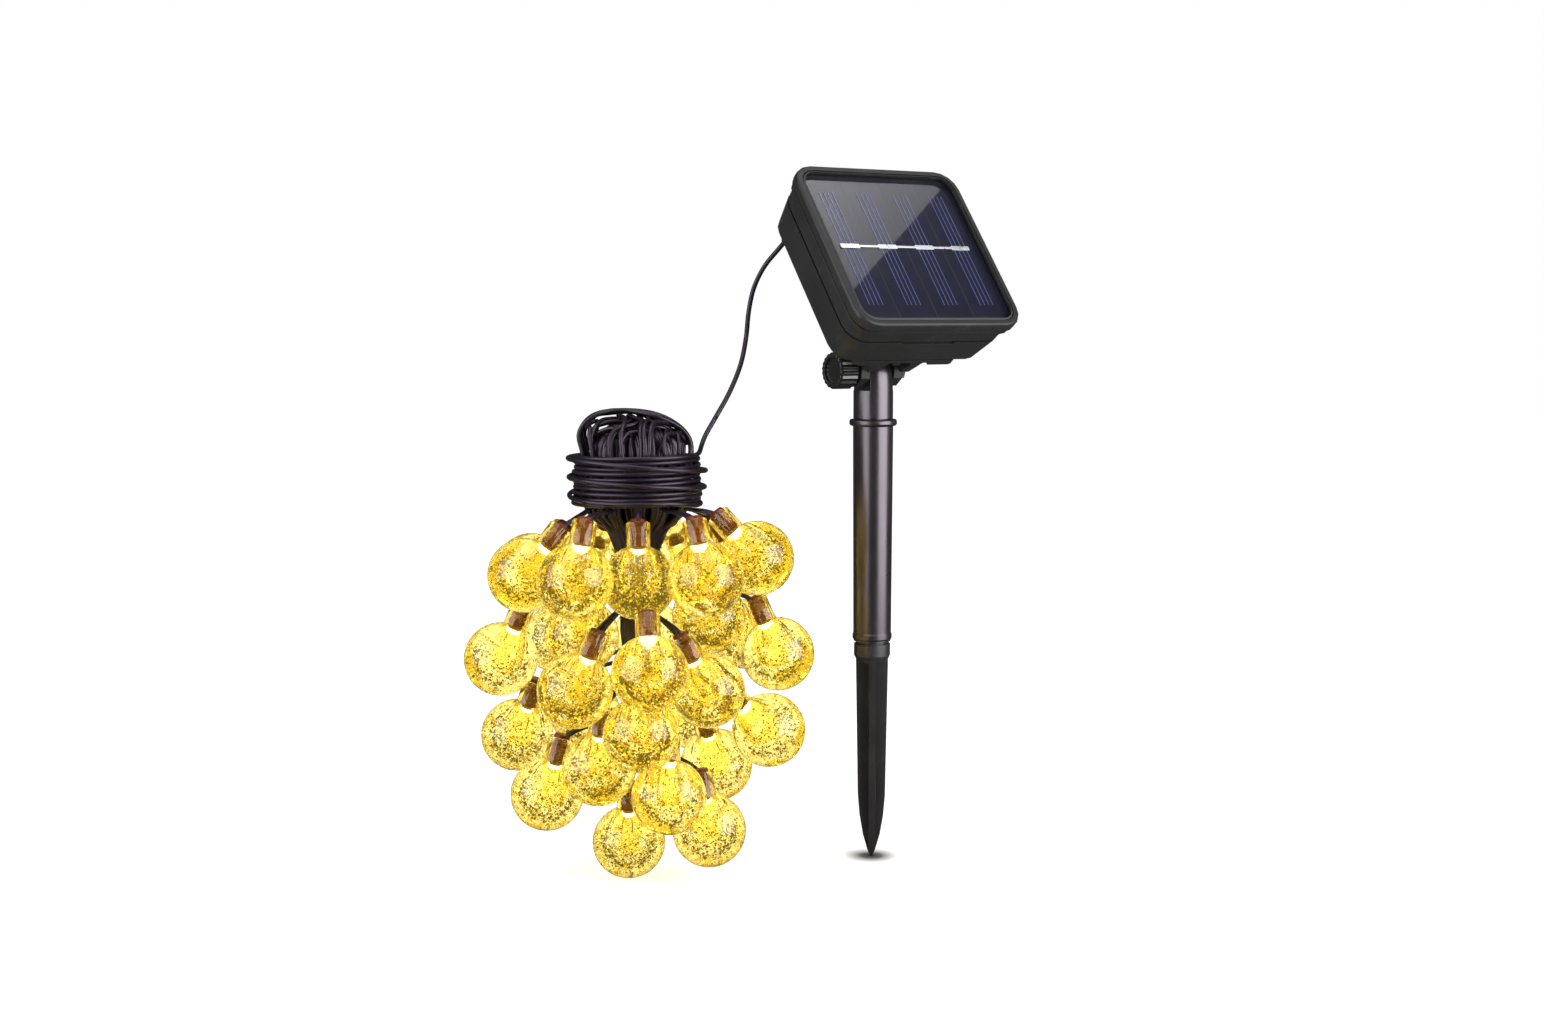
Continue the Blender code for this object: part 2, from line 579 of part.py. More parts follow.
def make_globes(mats):
    """Thick-walled globes with a necked mouth for the socket; one mesh serves them all."""
    join = 180 - math.degrees(math.asin(NECK_RADIUS / GLOBE_RADIUS))
    angles = [25, 50, 75, 100, 125, 146, join]
    profile = [(0.0, -GLOBE_RADIUS)]
    profile += [(GLOBE_RADIUS * math.sin(math.radians(a)),
                 -GLOBE_RADIUS * math.cos(math.radians(a))) for a in angles]
    profile += [(NECK_RADIUS, NECK_TOP), (NECK_BORE, NECK_TOP), (NECK_BORE, 9.5), (0.0, 9.5)]
    mesh = turned_mesh("bulb_globe", profile, 10)
    for number, row in enumerate(bulb_rows(), start=1):
        centre, direction = bulb_axis(number, row)
        globe = add_object(f"bulb_globe_{number:02d}", mesh, mats["globe"])
        aim(globe, centre, direction)


def wire_rings(number, row):
    """Rings of one socket plug and of the wires that run from it into the stem."""
    centre, direction = bulb_axis(number, row)
    top = centre + direction * (NECK_TOP + 1.0)
    rise = WIRE_RISE.get(number, 2)
    root = Vector((BUNDLE.x, BUNDLE.y, min(top.z + rise, NECK_ROOT)))
    under_stem = math.hypot(top.x - root.x, top.y - root.y) < 7
    if under_stem:
        root.z = STEM_ROOT
    run = (root - top).normalized()
    short = 11.0 if root.z > NECK_ROOT - 3 else 4.5
    end = root if under_stem else root - run * short
    stations = [(centre + direction * 10.0, direction, NECK_BORE - GAP),
                (top, direction, NECK_BORE - GAP), (top, direction, WIRE_RADIUS),
                (end, run, WIRE_RADIUS)]
    side = direction.cross(run)
    side = side.normalized() if side.length > 0.05 else direction.orthogonal().normalized()
    rings = []
    for place, along, radius in stations:
        across = along.cross(side).normalized()
        rings.append([place + side * x + across * y for x, y in regular_outline(6, radius)])
    return rings


def make_harness(mats):
    """The hank of wires: a dome of bights, a neck and a stem, with thirty socket plugs."""
    core = WINDING[0] - 0.4
    profile = [(0, 38), (4.5, 38), (7.0, 46), (8, 60), (8, 112), (8.5, 124), (10.5, 130),
               (13.5, 134.3), (core, 136.8), (core, 160), (19.6, 165), (16, 169.5),
               (10, 172.5), (0, 173.5)]
    harness = add_object("light_harness", turned_mesh("light_harness", profile, 20),
                         mats["cord"])
    harness.location = BUNDLE * MM
    for number, row in enumerate(bulb_rows(), start=1):
        mesh = loft_mesh("socket_wires", wire_rings(number, row))
        combine(harness, "UNION", tool(f"socket_tool_{number:02d}", mesh))


def make_winding(mats):
    """The lead's turns round the neck, as one plain ring."""
    inner, outer, low, high = WINDING
    profile = [(inner, low), (outer - 0.8, low), (outer, low + 0.9), (outer, high - 0.9),
               (outer - 0.8, high), (inner, high)]
    winding = add_object("cord_winding", turned_mesh("cord_winding", profile, 28), mats["cord"])
    winding.location = BUNDLE * MM


def smooth_route(points, spacing):
    """Points at about one spacing along a Catmull-Rom curve through the route."""
    ends = [points[0] * 2 - points[1]] + list(points) + [points[-1] * 2 - points[-2]]
    route = [points[0]]
    for a, b, c, d in zip(ends, ends[1:], ends[2:], ends[3:]):
        steps = max(1, round((c - b).length / spacing))
        for i in range(1, steps + 1):
            t = i / steps
            route.append(0.5 * (2 * b + (c - a) * t + (2 * a - 5 * b + 4 * c - d) * t ** 2
                                + (3 * b - a - 3 * c + d) * t ** 3))
    return route


def make_lead(mats, head_matrix):
    """The free stretch of the lead, from inside the gland to the top of the winding."""
    start = [head_matrix @ (Vector((*GLAND_PLACE, z)) * MM) / MM for z in (21.0, 17.0, 13.0)]
    bearing = math.radians(LEAD_BEARING)
    reach = (WINDING[0] + WINDING[1]) / 2
    end = BUNDLE + Vector((reach * math.sin(bearing), -reach * math.cos(bearing),
                           WINDING[3] + CORD_DIAMETER / 2))
    route = start + [Vector(p) for p in LEAD_ROUTE] + [end]
    points = smooth_route(route, 4.4)
    add_curve("lead_cord", points, CORD_DIAMETER / 2, mats["cord"], 2)


# ---------------------------------------------------------------- assembly

def make_frames():
    """Empties on the swivel axis and on the tilt axis."""
    swivel = bpy.data.objects.new("swivel_frame", None)
    swivel.location = (0, 0, HINGE_Z * MM)
    swivel.rotation_euler = (0, 0, math.radians(HEAD_YAW))
    head = bpy.data.objects.new("head_frame", None)
    head.rotation_euler = (math.radians(HEAD_TIP), 0, 0)
    head.parent = swivel
    for empty in (swivel, head):
        bpy.context.scene.collection.objects.link(empty)
    bpy.context.view_layer.update()
    return swivel, head


def main():
    clear_scene()
    mats = make_materials()
    swivel, head = make_frames()
    make_spike(mats)
    make_tube(mats)
    make_pivot(mats, swivel)
    make_bracket(mats, head)
    make_clamp(mats, head)
    make_rear_housing(mats, head)
    make_front_cover(mats, head)
    make_gasket(mats, head)
    make_panel(mats, head)
    make_battery(mats, head)
    make_board(mats, head)
    make_buttons(mats, head)
    make_screws(mats, head)
    make_gland(mats, head)
    make_globes(mats)
    make_harness(mats)
    make_winding(mats)
    make_lead(mats, head.matrix_world)


main()
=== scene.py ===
"""Looks of the solar string lights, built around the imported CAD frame. Metres, +Z up."""

import json
import math
import random

import bmesh
import bpy
import numpy as np
from mathutils import Matrix, Vector


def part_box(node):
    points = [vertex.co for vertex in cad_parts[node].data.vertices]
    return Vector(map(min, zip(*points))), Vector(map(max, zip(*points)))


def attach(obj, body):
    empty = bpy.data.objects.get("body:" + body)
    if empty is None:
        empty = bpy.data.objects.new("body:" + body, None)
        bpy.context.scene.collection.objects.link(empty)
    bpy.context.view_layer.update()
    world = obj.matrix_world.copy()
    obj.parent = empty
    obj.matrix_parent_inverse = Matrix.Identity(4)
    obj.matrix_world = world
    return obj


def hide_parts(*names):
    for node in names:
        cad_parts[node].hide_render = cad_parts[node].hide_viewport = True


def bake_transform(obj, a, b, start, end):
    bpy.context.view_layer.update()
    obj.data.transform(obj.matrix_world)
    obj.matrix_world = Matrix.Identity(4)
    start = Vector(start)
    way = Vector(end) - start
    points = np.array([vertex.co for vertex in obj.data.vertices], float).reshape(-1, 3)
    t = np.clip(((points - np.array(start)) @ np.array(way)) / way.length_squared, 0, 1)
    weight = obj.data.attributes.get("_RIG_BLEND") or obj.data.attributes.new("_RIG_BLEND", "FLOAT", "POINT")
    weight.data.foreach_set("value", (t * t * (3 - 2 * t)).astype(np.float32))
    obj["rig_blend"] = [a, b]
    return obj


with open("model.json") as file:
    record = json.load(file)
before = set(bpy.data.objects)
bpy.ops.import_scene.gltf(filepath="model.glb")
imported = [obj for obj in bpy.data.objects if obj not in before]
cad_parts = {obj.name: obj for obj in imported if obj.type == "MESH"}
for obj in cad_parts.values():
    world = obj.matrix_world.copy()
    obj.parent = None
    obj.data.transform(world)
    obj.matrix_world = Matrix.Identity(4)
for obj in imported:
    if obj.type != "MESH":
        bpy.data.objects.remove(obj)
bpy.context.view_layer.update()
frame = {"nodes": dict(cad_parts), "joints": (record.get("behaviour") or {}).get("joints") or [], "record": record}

NODES = frame["nodes"]
JOINTS = {joint["name"]: joint for joint in frame["joints"]}
MM = 0.001

# Cord routes below are in millimetres, as in the CAD source.
CORD_DIAMETER = 1.8
WIRE_DIAMETER = 1.6
GLAND_PLACE = (-26.6, 50.4)  # in the head's own frame
GLAND_HEIGHTS = (21.0, 17.0, 13.0)
LEAD_ROUTE = [(-36, 5, 232), (-41, 8, 226), (-45, 8, 218), (-47, 6, 209), (-48, 2, 199),
              (-50, -3, 189), (-54, -9, 179), (-59, -15, 170), (-63, -20, 163)]
LEAD_SPLIT = 4  # the route point that keeps still on the pivot
LEAD_END = 7  # the route point where the winding's own cord begins

# Globes
BULBS = 30
GLOBE_RADIUS = 13.4
NECK_RADIUS = 4.4
NECK_TOP = 21.5  # from the globe's centre, along its neck
NECK_BORE = 3.3

# Edges of the hard parts: the angle that counts as an edge, and how far each is rounded
EDGE_ANGLE = 32.0
FLAT_ANGLE = 0.5  # faces nearer to one plane than this are joined
WELD = 0.005
DEFAULT_ROUNDING = 0.15
ROUNDING = {"housing_plastic": 0.3, "solar_cell": 0.05, "solder_ribbon": 0.05, "clear_resin": 0.02,
            "contact_metal": 0.05, "screw_steel": 0.1}

# Solar panel, in the head's own frame
FACE_CENTRE = 22.8
CELL_TOP = 43.4
RESIN_TOP = 45.6
PANEL_FLOOR = 42.6
CELLS = 4
CELL_PITCH = 16.7
FINGERS = 4  # printed lines on each cell
FINGER_PITCH = 1.95
FINGER_WIDTH = 0.32
FINGER_REACH = 26.0
FINGER_RISE = (0.02, 0.14)  # their underside and top, above the cell
BACKING_SHARE = 0.996  # of the resin's outline


# ---------------- frame helpers

def bundle_axis():
    """The light bundle's axis, and the winding's bottom and top, in millimetres."""
    low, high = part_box("cord_winding")
    return (low.x + high.x) / 2 / MM, (low.y + high.y) / 2 / MM, low.z / MM, high.z / MM


AXIS_X, AXIS_Y, WINDING_LOW, WINDING_HIGH = bundle_axis()


def head_frame():
    """The head's own frame at rest: x along its width, y up its face, z out of it."""
    x = Vector(JOINTS["head_tilt"]["axis"])
    z = Vector(JOINTS["power_press"]["axis"])
    turn = Matrix((x, z.cross(x), z)).transposed().to_4x4()
    return Matrix.Translation(Vector(JOINTS["head_tilt"]["pos_m"])) @ turn


HEAD = head_frame()


def globe_frame(number):
    """A globe's frame in metres: origin at its centre, z out through its neck."""
    mesh = NODES[f"bulb_globe_{number:02d}"].data
    points = np.array([v.co for v in mesh.vertices], float)
    middle = points.mean(0)
    axis = np.linalg.eigh(np.cov((points - middle).T))[1][:, -1]
    for side in (1, -1):
        along = (points - middle) @ axis * side
        end = points[along > along.max() - 1e-5]
        across = end - middle - np.outer((end - middle) @ axis, axis)
        if np.linalg.norm(across, axis=1).max() > NECK_BORE * MM * 0.9:
            direction = Vector(axis * side)
            centre = Vector(middle) + direction * (along.max() - NECK_TOP * MM)
            return Matrix.Translation(centre) @ direction.to_track_quat("Z", "Y").to_matrix().to_4x4()
    raise RuntimeError(f"globe {number} has no neck")


GLOBES = [globe_frame(number) for number in range(1, BULBS + 1)]


# ---------------- mesh helpers

def add_mesh(name, bm, smooth_angle=40.0):
    """A smooth-shaded object from a bmesh, facing out."""
    bmesh.ops.recalc_face_normals(bm, faces=bm.faces)
    mesh = bpy.data.meshes.new(name)
    bm.to_mesh(mesh)
    bm.free()
    mesh.shade_smooth()
    mesh.set_sharp_from_angle(angle=math.radians(smooth_angle))
    obj = bpy.data.objects.new(name, mesh)
    bpy.context.scene.collection.objects.link(obj)
    return obj


def resample(points, spacing):
    """Points at an even spacing along a polyline."""
    points = np.array(points, float)
    steps = np.linalg.norm(np.diff(points, axis=0), axis=1)
    along = np.concatenate([[0], np.cumsum(steps)])
    count = max(2, int(round(along[-1] / spacing)) + 1)
    wanted = np.linspace(0, along[-1], count)
    return np.stack([np.interp(wanted, along, points[:, i]) for i in range(3)], axis=1)


def relax(points, rounds):
    """The same polyline with its corners eased; its ends stay."""
    points = np.array(points, float)
    for _ in range(rounds):
        points[1:-1] = points[1:-1] * 0.5 + (points[:-2] + points[2:]) * 0.25
    return points


def smooth_route(points, spacing):
    """Points at about one spacing along a Catmull-Rom curve through the route."""
    points = [Vector(p) for p in points]
    ends = [points[0] * 2 - points[1]] + points + [points[-1] * 2 - points[-2]]
    route = [points[0]]
    for a, b, c, d in zip(ends, ends[1:], ends[2:], ends[3:]):
        steps = max(1, round((c - b).length / spacing))
        for i in range(1, steps + 1):
            t = i / steps
            route.append(0.5 * (2 * b + (c - a) * t + (2 * a - 5 * b + 4 * c - d) * t ** 2
                                + (3 * b - a - 3 * c + d) * t ** 3))
    return np.array([tuple(p) for p in route])


def bezier(a, a_out, b, b_in, count):
    """Points along a cubic curve from a, leaving towards a_out, to b, arriving from b_in."""
    a, b = np.array(a, float), np.array(b, float)
    c, d = a + np.array(a_out, float), b + np.array(b_in, float)
    t = np.linspace(0, 1, count)[:, None]
    return a * (1 - t) ** 3 + 3 * c * t * (1 - t) ** 2 + 3 * d * t ** 2 * (1 - t) + b * t ** 3


def ease(share):
    """A share from 0 to 1, which starts and ends slowly."""
    return share * share * (3 - 2 * share)


def length_of(points):
    return float(np.linalg.norm(np.diff(np.array(points, float), axis=0), axis=1).sum())


CAP_REACH, CAP_SIZE = 0.45, 0.55  # a tube's domed ends, as shares of its radius


def tube(name, points, radius, sides, material):
    """A round tube along points in millimetres, with domed ends, as a mesh in metres."""
    points = np.array(points, float)
    tangents = np.gradient(points, axis=0)
    tangents /= np.linalg.norm(tangents, axis=1)[:, None]
    across = np.cross(tangents[0], (0.31, 0.17, 0.93))
    across /= np.linalg.norm(across)
    bm = bmesh.new()
    rings = []

    def ring(centre, tangent, size):
        up = np.cross(tangent, across)
        verts = []
        for i in range(sides):
            angle = 2 * math.pi * i / sides
            place = centre + size * (across * math.cos(angle) + up * math.sin(angle))
            verts.append(bm.verts.new(tuple(place * MM)))
        rings.append(verts)

    ring(points[0] - tangents[0] * radius * CAP_REACH, tangents[0], radius * CAP_SIZE)
    for centre, tangent in zip(points, tangents):
        across = across - tangent * np.dot(across, tangent)
        across /= np.linalg.norm(across)
        ring(centre, tangent, radius)
    ring(points[-1] + tangents[-1] * radius * CAP_REACH, tangents[-1], radius * CAP_SIZE)
    for low, high in zip(rings, rings[1:]):
        for i in range(sides):
            j = (i + 1) % sides
            bm.faces.new((low[i], low[j], high[j], high[i]))
    bm.faces.new(rings[0])
    bm.faces.new(rings[-1])
    obj = add_mesh(name, bm, 60.0)
    obj.data.materials.append(material)
    return obj


def lathe(bm, profile, steps, wave=None):
    """Turn a profile of (radius, height) in millimetres about z, into a bmesh in metres."""
    loops = []
    for radius, height in profile:
        if radius < 1e-6:
            loops.append([bm.verts.new((0, 0, height * MM))])
            continue
        loop = []
        for i in range(steps):
            angle = 2 * math.pi * i / steps
            size = radius * (wave(angle, height) if wave else 1.0) * MM
            loop.append(bm.verts.new((size * math.cos(angle), size * math.sin(angle), height * MM)))
        loops.append(loop)
    pairs = list(zip(loops, loops[1:]))
    if len(loops[0]) > 1 and len(loops[-1]) > 1:
        pairs.append((loops[-1], loops[0]))
    for low, high in pairs:
        for i in range(steps):
            j = (i + 1) % steps
            corners = [low[i % len(low)], low[j % len(low)],
                       high[j % len(high)], high[i % len(high)]]
            bm.faces.new(list(dict.fromkeys(corners)))


# ---------------- materials

class Shader:
    """A material with one Principled shader, and short ways to add nodes to it."""

    def __init__(self, name, colour, roughness, **values):
        self.mat = bpy.data.materials.new(name)
        self.mat.use_nodes = True
        self.nodes = self.mat.node_tree.nodes
        self.links = self.mat.node_tree.links
        self.main = self.nodes["Principled BSDF"]
        self.set(self.main, Base_Color=(*colour, 1.0), Roughness=roughness, **values)
        self.where = self.nodes.new("ShaderNodeTexCoord").outputs["Object"]

    def set(self, node, **values):
        for key, value in values.items():
            socket = node.inputs[key.replace("_", " ")]
            if isinstance(value, bpy.types.NodeSocket):
                self.links.new(value, socket)
            else:
                socket.default_value = value

    def stretch(self, scale):
        """The object's coordinates, scaled by three numbers."""
        node = self.nodes.new("ShaderNodeMapping")
        self.set(node, Vector=self.where, Scale=scale)
        return node.outputs["Vector"]

    def noise(self, scale, detail=2.0, where=None, distortion=0.0):
        node = self.nodes.new("ShaderNodeTexNoise")
        self.set(node, Vector=where or self.where, Scale=scale, Detail=detail, Distortion=distortion)
        return node.outputs["Fac"]

    def cells(self, scale, feature="F1"):
        node = self.nodes.new("ShaderNodeTexVoronoi")
        node.feature = feature
        self.set(node, Vector=self.where, Scale=scale)
        return node.outputs["Distance"]

    def ramp(self, source, *stops):
        """Colours or grey values at places from 0 to 1 along a source."""
        node = self.nodes.new("ShaderNodeValToRGB")
        self.links.new(source, node.inputs["Fac"])
        while len(node.color_ramp.elements) < len(stops):
            node.color_ramp.elements.new(1.0)
        for element, (place, colour) in zip(node.color_ramp.elements, stops):
            element.position = place
            element.color = (*colour, 1.0) if isinstance(colour, tuple) else (colour,) * 3 + (1.0,)
        return node.outputs["Color"]

    def mix(self, share, a, b):
        """Colour a turned into b by a share."""
        node = self.nodes.new("ShaderNodeMix")
        node.data_type = "RGBA"
        for socket, value in zip((node.inputs[0], node.inputs[6], node.inputs[7]), (share, a, b)):
            if isinstance(value, bpy.types.NodeSocket):
                self.links.new(value, socket)
            else:
                socket.default_value = value if isinstance(value, float) else (*value, 1.0)
        return node.outputs[2]

    def bump(self, height, strength, depth):
        """Relief from a height, depth in millimetres for its whole range."""
        node = self.nodes.new("ShaderNodeBump")
        node.inputs["Filter Width"].default_value = 0.5
        self.set(node, Height=height, Strength=strength, Distance=depth * MM)
        self.set(self.main, Normal=node.outputs["Normal"])


def moulded(name, colour, roughness, grain, relief, **values):
    """Moulded plastic: fine grain, slow shifts in gloss and tone, and a few rubbed spots."""
    shader = Shader(name, colour, roughness, **values)
    fine = shader.noise(1000 / grain, 3.0)
    slow = shader.noise(60.0, 4.0)
    rubbed = shader.noise(240.0, 6.0, distortion=0.6)
    lighter = tuple(min(1.0, c * 1.5 + 0.004) for c in colour)
    darker = tuple(c * 0.8 for c in colour)
    tone = shader.mix(shader.ramp(slow, (0.3, 0.0), (0.7, 1.0)), darker, colour)
    tone = shader.mix(shader.ramp(rubbed, (0.62, 0.0), (0.75, 0.7)), tone, lighter)
    gloss = shader.ramp(slow, (0.3, roughness * 0.88), (0.7, min(1.0, roughness * 1.12)))
    shader.set(shader.main, Base_Color=tone, Roughness=gloss)
    shader.bump(fine, 1.0, relief)
    return shader.mat


def metal(name, colour, roughness, grain=0.4):
    """Plated or tinned metal with faint scratches and cloudy gloss."""
    shader = Shader(name, colour, roughness, Metallic=1.0)
    cloud = shader.noise(1000 / (grain * 8), 3.0)
    scratch = shader.noise(1000 / grain, 2.0, where=shader.stretch((1.0, 0.12, 1.0)))
    darker = tuple(c * 0.8 for c in colour)
    shader.set(shader.main, Base_Color=shader.mix(cloud, darker, colour),
               Roughness=shader.ramp(cloud, (0.3, roughness * 0.7), (0.7, roughness * 1.3)))
    shader.bump(scratch, 0.6, 0.01)
    return shader.mat


def cord_material():
    """Soft PVC: nearly black with a violet cast, slightly waxy, with faint drawing lines."""
    shader = Shader("cord_jacket", (0.008, 0.006, 0.009), 0.32, Specular_IOR_Level=0.4,
                    Specular_Tint=(1.0, 0.84, 1.0, 1.0))
    slow = shader.noise(90.0, 2.0)
    fine = shader.noise(3000.0, 2.0)
    shader.set(shader.main, Base_Color=shader.mix(slow, (0.003, 0.002, 0.004), (0.010, 0.007, 0.012)),
               Roughness=shader.ramp(slow, (0.3, 0.30), (0.7, 0.40)))
    shader.bump(fine, 0.4, 0.004)
    return shader.mat


# The resin's gloss, as a clear coat on what lies under it.
RESIN_COAT = {"Coat_Weight": 1.0, "Coat_Roughness": 0.02, "Coat_IOR": 1.52}


def cell_material():
    """Dark blue silicon: large faint crystal grains, and a bluer cast in patches."""
    shader = Shader("solar_cell", (0.010, 0.011, 0.026), 0.35, Specular_IOR_Level=0.1, **RESIN_COAT)
    grains = shader.nodes.new("ShaderNodeTexVoronoi")
    shader.set(grains, Vector=shader.where, Scale=210.0)
    tone = shader.mix(grains.outputs["Color"], (0.0042, 0.0046, 0.0125), (0.0072, 0.0072, 0.0195))
    slow = shader.noise(40.0, 2.0)
    shader.set(shader.main, Base_Color=shader.mix(slow, tone, (0.0042, 0.0046, 0.012)))
    shader.bump(shader.noise(5200.0, 2.0), 0.5, 0.008)
    return shader.mat


def finger_material():
    """Thin printed lines of silver, which look blue on the cell."""
    shader = Shader("cell_fingers", (0.075, 0.085, 0.33), 0.35, Metallic=0.4, **RESIN_COAT)
    worn = shader.noise(900.0, 3.0)
    shader.set(shader.main, Base_Color=shader.mix(worn, (0.035, 0.04, 0.14), (0.085, 0.095, 0.23)))
    shader.bump(shader.noise(4000.0), 0.5, 0.01)
    return shader.mat


def resin_material():
    """A poured slab of clear resin, which only shows where it is seen at a low angle."""
    shader = Shader("clear_resin", (0.96, 0.96, 1.0), 0.05, Metallic=1.0)
    edge_on = shader.nodes.new("ShaderNodeLayerWeight").outputs["Facing"]
    mirrored = shader.ramp(edge_on, (0.0, 0.0), (0.5, 0.0), (0.8, 0.05), (1.0, 0.4))
    slow = shader.noise(90.0, 2.0)
    shader.set(shader.main, Roughness=shader.ramp(slow, (0.3, 0.02), (0.7, 0.035)),
               Alpha=mirrored)
    shader.bump(slow, 0.15, 0.01)
    return shader.mat


def board_material():
    """Green solder mask with copper tracks showing through as lighter lines."""
    shader = Shader("circuit_board", (0.015, 0.1, 0.04), 0.3)
    tracks = shader.cells(420.0, feature="DISTANCE_TO_EDGE")
    line = shader.ramp(tracks, (0.04, 1.0), (0.07, 0.0))
    shader.set(shader.main, Base_Color=shader.mix(line, (0.012, 0.09, 0.035), (0.03, 0.2, 0.07)))
    shader.bump(line, 0.6, 0.03)
    return shader.mat


def socket_material():
    """Maroon plastic in lighter and darker patches, with a faint painted glow for the bulb's light on it."""
    # The emission here is painted light: a faint glow in the socket's own colour.
    shader = Shader("socket_plastic", (0.10, 0.014, 0.006), 0.35, Emission_Strength=0.04,
                    Specular_IOR_Level=0.2)
    slow = shader.noise(420.0, 4.0)
    patches = shader.ramp(slow, (0.35, 0.0), (0.65, 1.0))
    tone = shader.mix(patches, (0.06, 0.006, 0.003), (0.14, 0.020, 0.005))
    shader.set(shader.main, Base_Color=tone, Emission_Color=tone)
    shader.bump(shader.noise(1500.0), 0.5, 0.01)
    return shader.mat


CORD_MAT = cord_material()


def finishes():
    """The finish of each of the record's material slots that CAD pieces use."""
    return {
        "housing_plastic": moulded("housing_plastic", (0.015, 0.015, 0.015), 0.38, 0.35, 0.03,
                                   Specular_IOR_Level=0.22),
        "tube_plastic": moulded("tube_plastic", (0.009, 0.007, 0.009), 0.3, 0.5, 0.004,
                                Specular_IOR_Level=1.0, Specular_Tint=(1.0, 0.9, 1.0, 1.0)),
        "spike_plastic": moulded("spike_plastic", (0.014, 0.013, 0.014), 0.40, 0.3, 0.03,
                                 Specular_IOR_Level=0.6),
        "knob_plastic": moulded("knob_plastic", (0.006, 0.006, 0.006), 0.3, 0.3, 0.03,
                               Specular_IOR_Level=0.7),
        "rubber": moulded("rubber", (0.010, 0.010, 0.010), 0.62, 0.2, 0.04),
        "battery_wrap": moulded("battery_wrap", (0.07, 0.27, 0.12), 0.25, 0.6, 0.02),
        "screw_steel": metal("screw_steel", (0.55, 0.55, 0.56), 0.32),
        "contact_metal": metal("contact_metal", (0.7, 0.68, 0.62), 0.28),
        "solder_ribbon": metal("solder_ribbon", (0.82, 0.83, 0.88), 0.3, 0.6),
        "solar_cell": cell_material(),
        "clear_resin": resin_material(),
        "circuit_board": board_material(),
    }


# ---------------- head and stake

def refine(name, material, rounding):
    """A finer copy of a CAD piece: smooth over its curves, with its sharp edges rounded."""
    bm = bmesh.new()
    bm.from_mesh(NODES[name].data)
    for layer in list(bm.loops.layers.float_vector):
        bm.loops.layers.float_vector.remove(layer)
    bmesh.ops.remove_doubles(bm, verts=bm.verts, dist=WELD * MM)
    bmesh.ops.dissolve_limit(bm, angle_limit=math.radians(FLAT_ANGLE), verts=bm.verts,
                             edges=bm.edges)
    copy = add_mesh(f"fine_{name}", bm, EDGE_ANGLE)
    for attribute in list(copy.data.attributes):
        if attribute.name == "custom_normal":
            copy.data.attributes.remove(attribute)
    copy.data.materials.append(material)
    bevel = copy.modifiers.new("rounding", "BEVEL")
    bevel.width = rounding * MM
    bevel.segments = 2
    bevel.limit_method = "ANGLE"
    bevel.angle_limit = math.radians(EDGE_ANGLE)
    bevel.harden_normals = True
    return copy


def dull_edges(piece, material):
    """Give another material to the faces round the rim of a flat piece of the head."""
    up = HEAD.to_3x3() @ Vector((0, 0, 1))
    piece.data.materials.append(material)
    for face in piece.data.polygons:
        if abs(face.normal.dot(up)) < 0.99:
            face.material_index = 1


def make_hard_parts():
    """Every CAD piece that isn't a cord or a globe, refined and with its finish."""
    finish = finishes()
    bodies = frame["record"]["behaviour"]["bodies"]
    body_of = {node: body for body, nodes in bodies.items() for node in nodes}
    for part in frame["record"]["subparts"]:
        name, slot = part["node"], part["material_slot"]
        if slot not in finish:
            continue
        copy = refine(name, finish[slot], ROUNDING.get(slot, DEFAULT_ROUNDING))
        if name == "panel_resin":
            dull_edges(copy, finish["rubber"])
        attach(copy, body_of[name])
        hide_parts(name)


def make_backing():
    """The dark backing round the cells, level with them, in the recess under the resin."""
    bm = bmesh.new()
    bm.from_mesh(NODES["panel_resin"].data)
    bm.transform(HEAD.inverted())
    middle = (RESIN_TOP + CELL_TOP) / 2 * MM
    centre = Vector((0, FACE_CENTRE * MM, 0))
    for vert in bm.verts:
        vert.co.z = (CELL_TOP - 0.02 if vert.co.z > middle else PANEL_FLOOR + 0.2) * MM
        vert.co.xy = centre.xy + (vert.co.xy - centre.xy) * BACKING_SHARE
    bm.transform(HEAD)
    backing = add_mesh("panel_backing", bm, 30.0)
    backing.data.materials.append(
        moulded("panel_backing", (0.009, 0.009, 0.014), 0.5, 0.3, 0.01,
                Specular_IOR_Level=0.2, **RESIN_COAT))
    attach(backing, "head")


def make_fingers():
    """Four groups of fine printed lines on the cells, seen through the resin."""
    bm = bmesh.new()
    bottom, top = (CELL_TOP + rise for rise in FINGER_RISE)
    for cell in range(CELLS):
        middle = (cell - (CELLS - 1) / 2) * CELL_PITCH
        for line in range(FINGERS):
            x = middle + (line - (FINGERS - 1) / 2) * FINGER_PITCH
            lows = (x - FINGER_WIDTH / 2, FACE_CENTRE - FINGER_REACH, bottom)
            highs = (x + FINGER_WIDTH / 2, FACE_CENTRE + FINGER_REACH, top)
            corners = bmesh.ops.create_cube(bm, size=1.0)["verts"]
            for vert in corners:
                ends = zip(vert.co, lows, highs)
                vert.co = Vector(low if c < 0 else high for c, low, high in ends) * MM
    bm.transform(HEAD)
    fingers = add_mesh("cell_fingers", bm, 30.0)
    fingers.data.materials.append(finger_material())
    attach(fingers, "head")


# ---------------- lead

LEAD_SPACING = 2.0


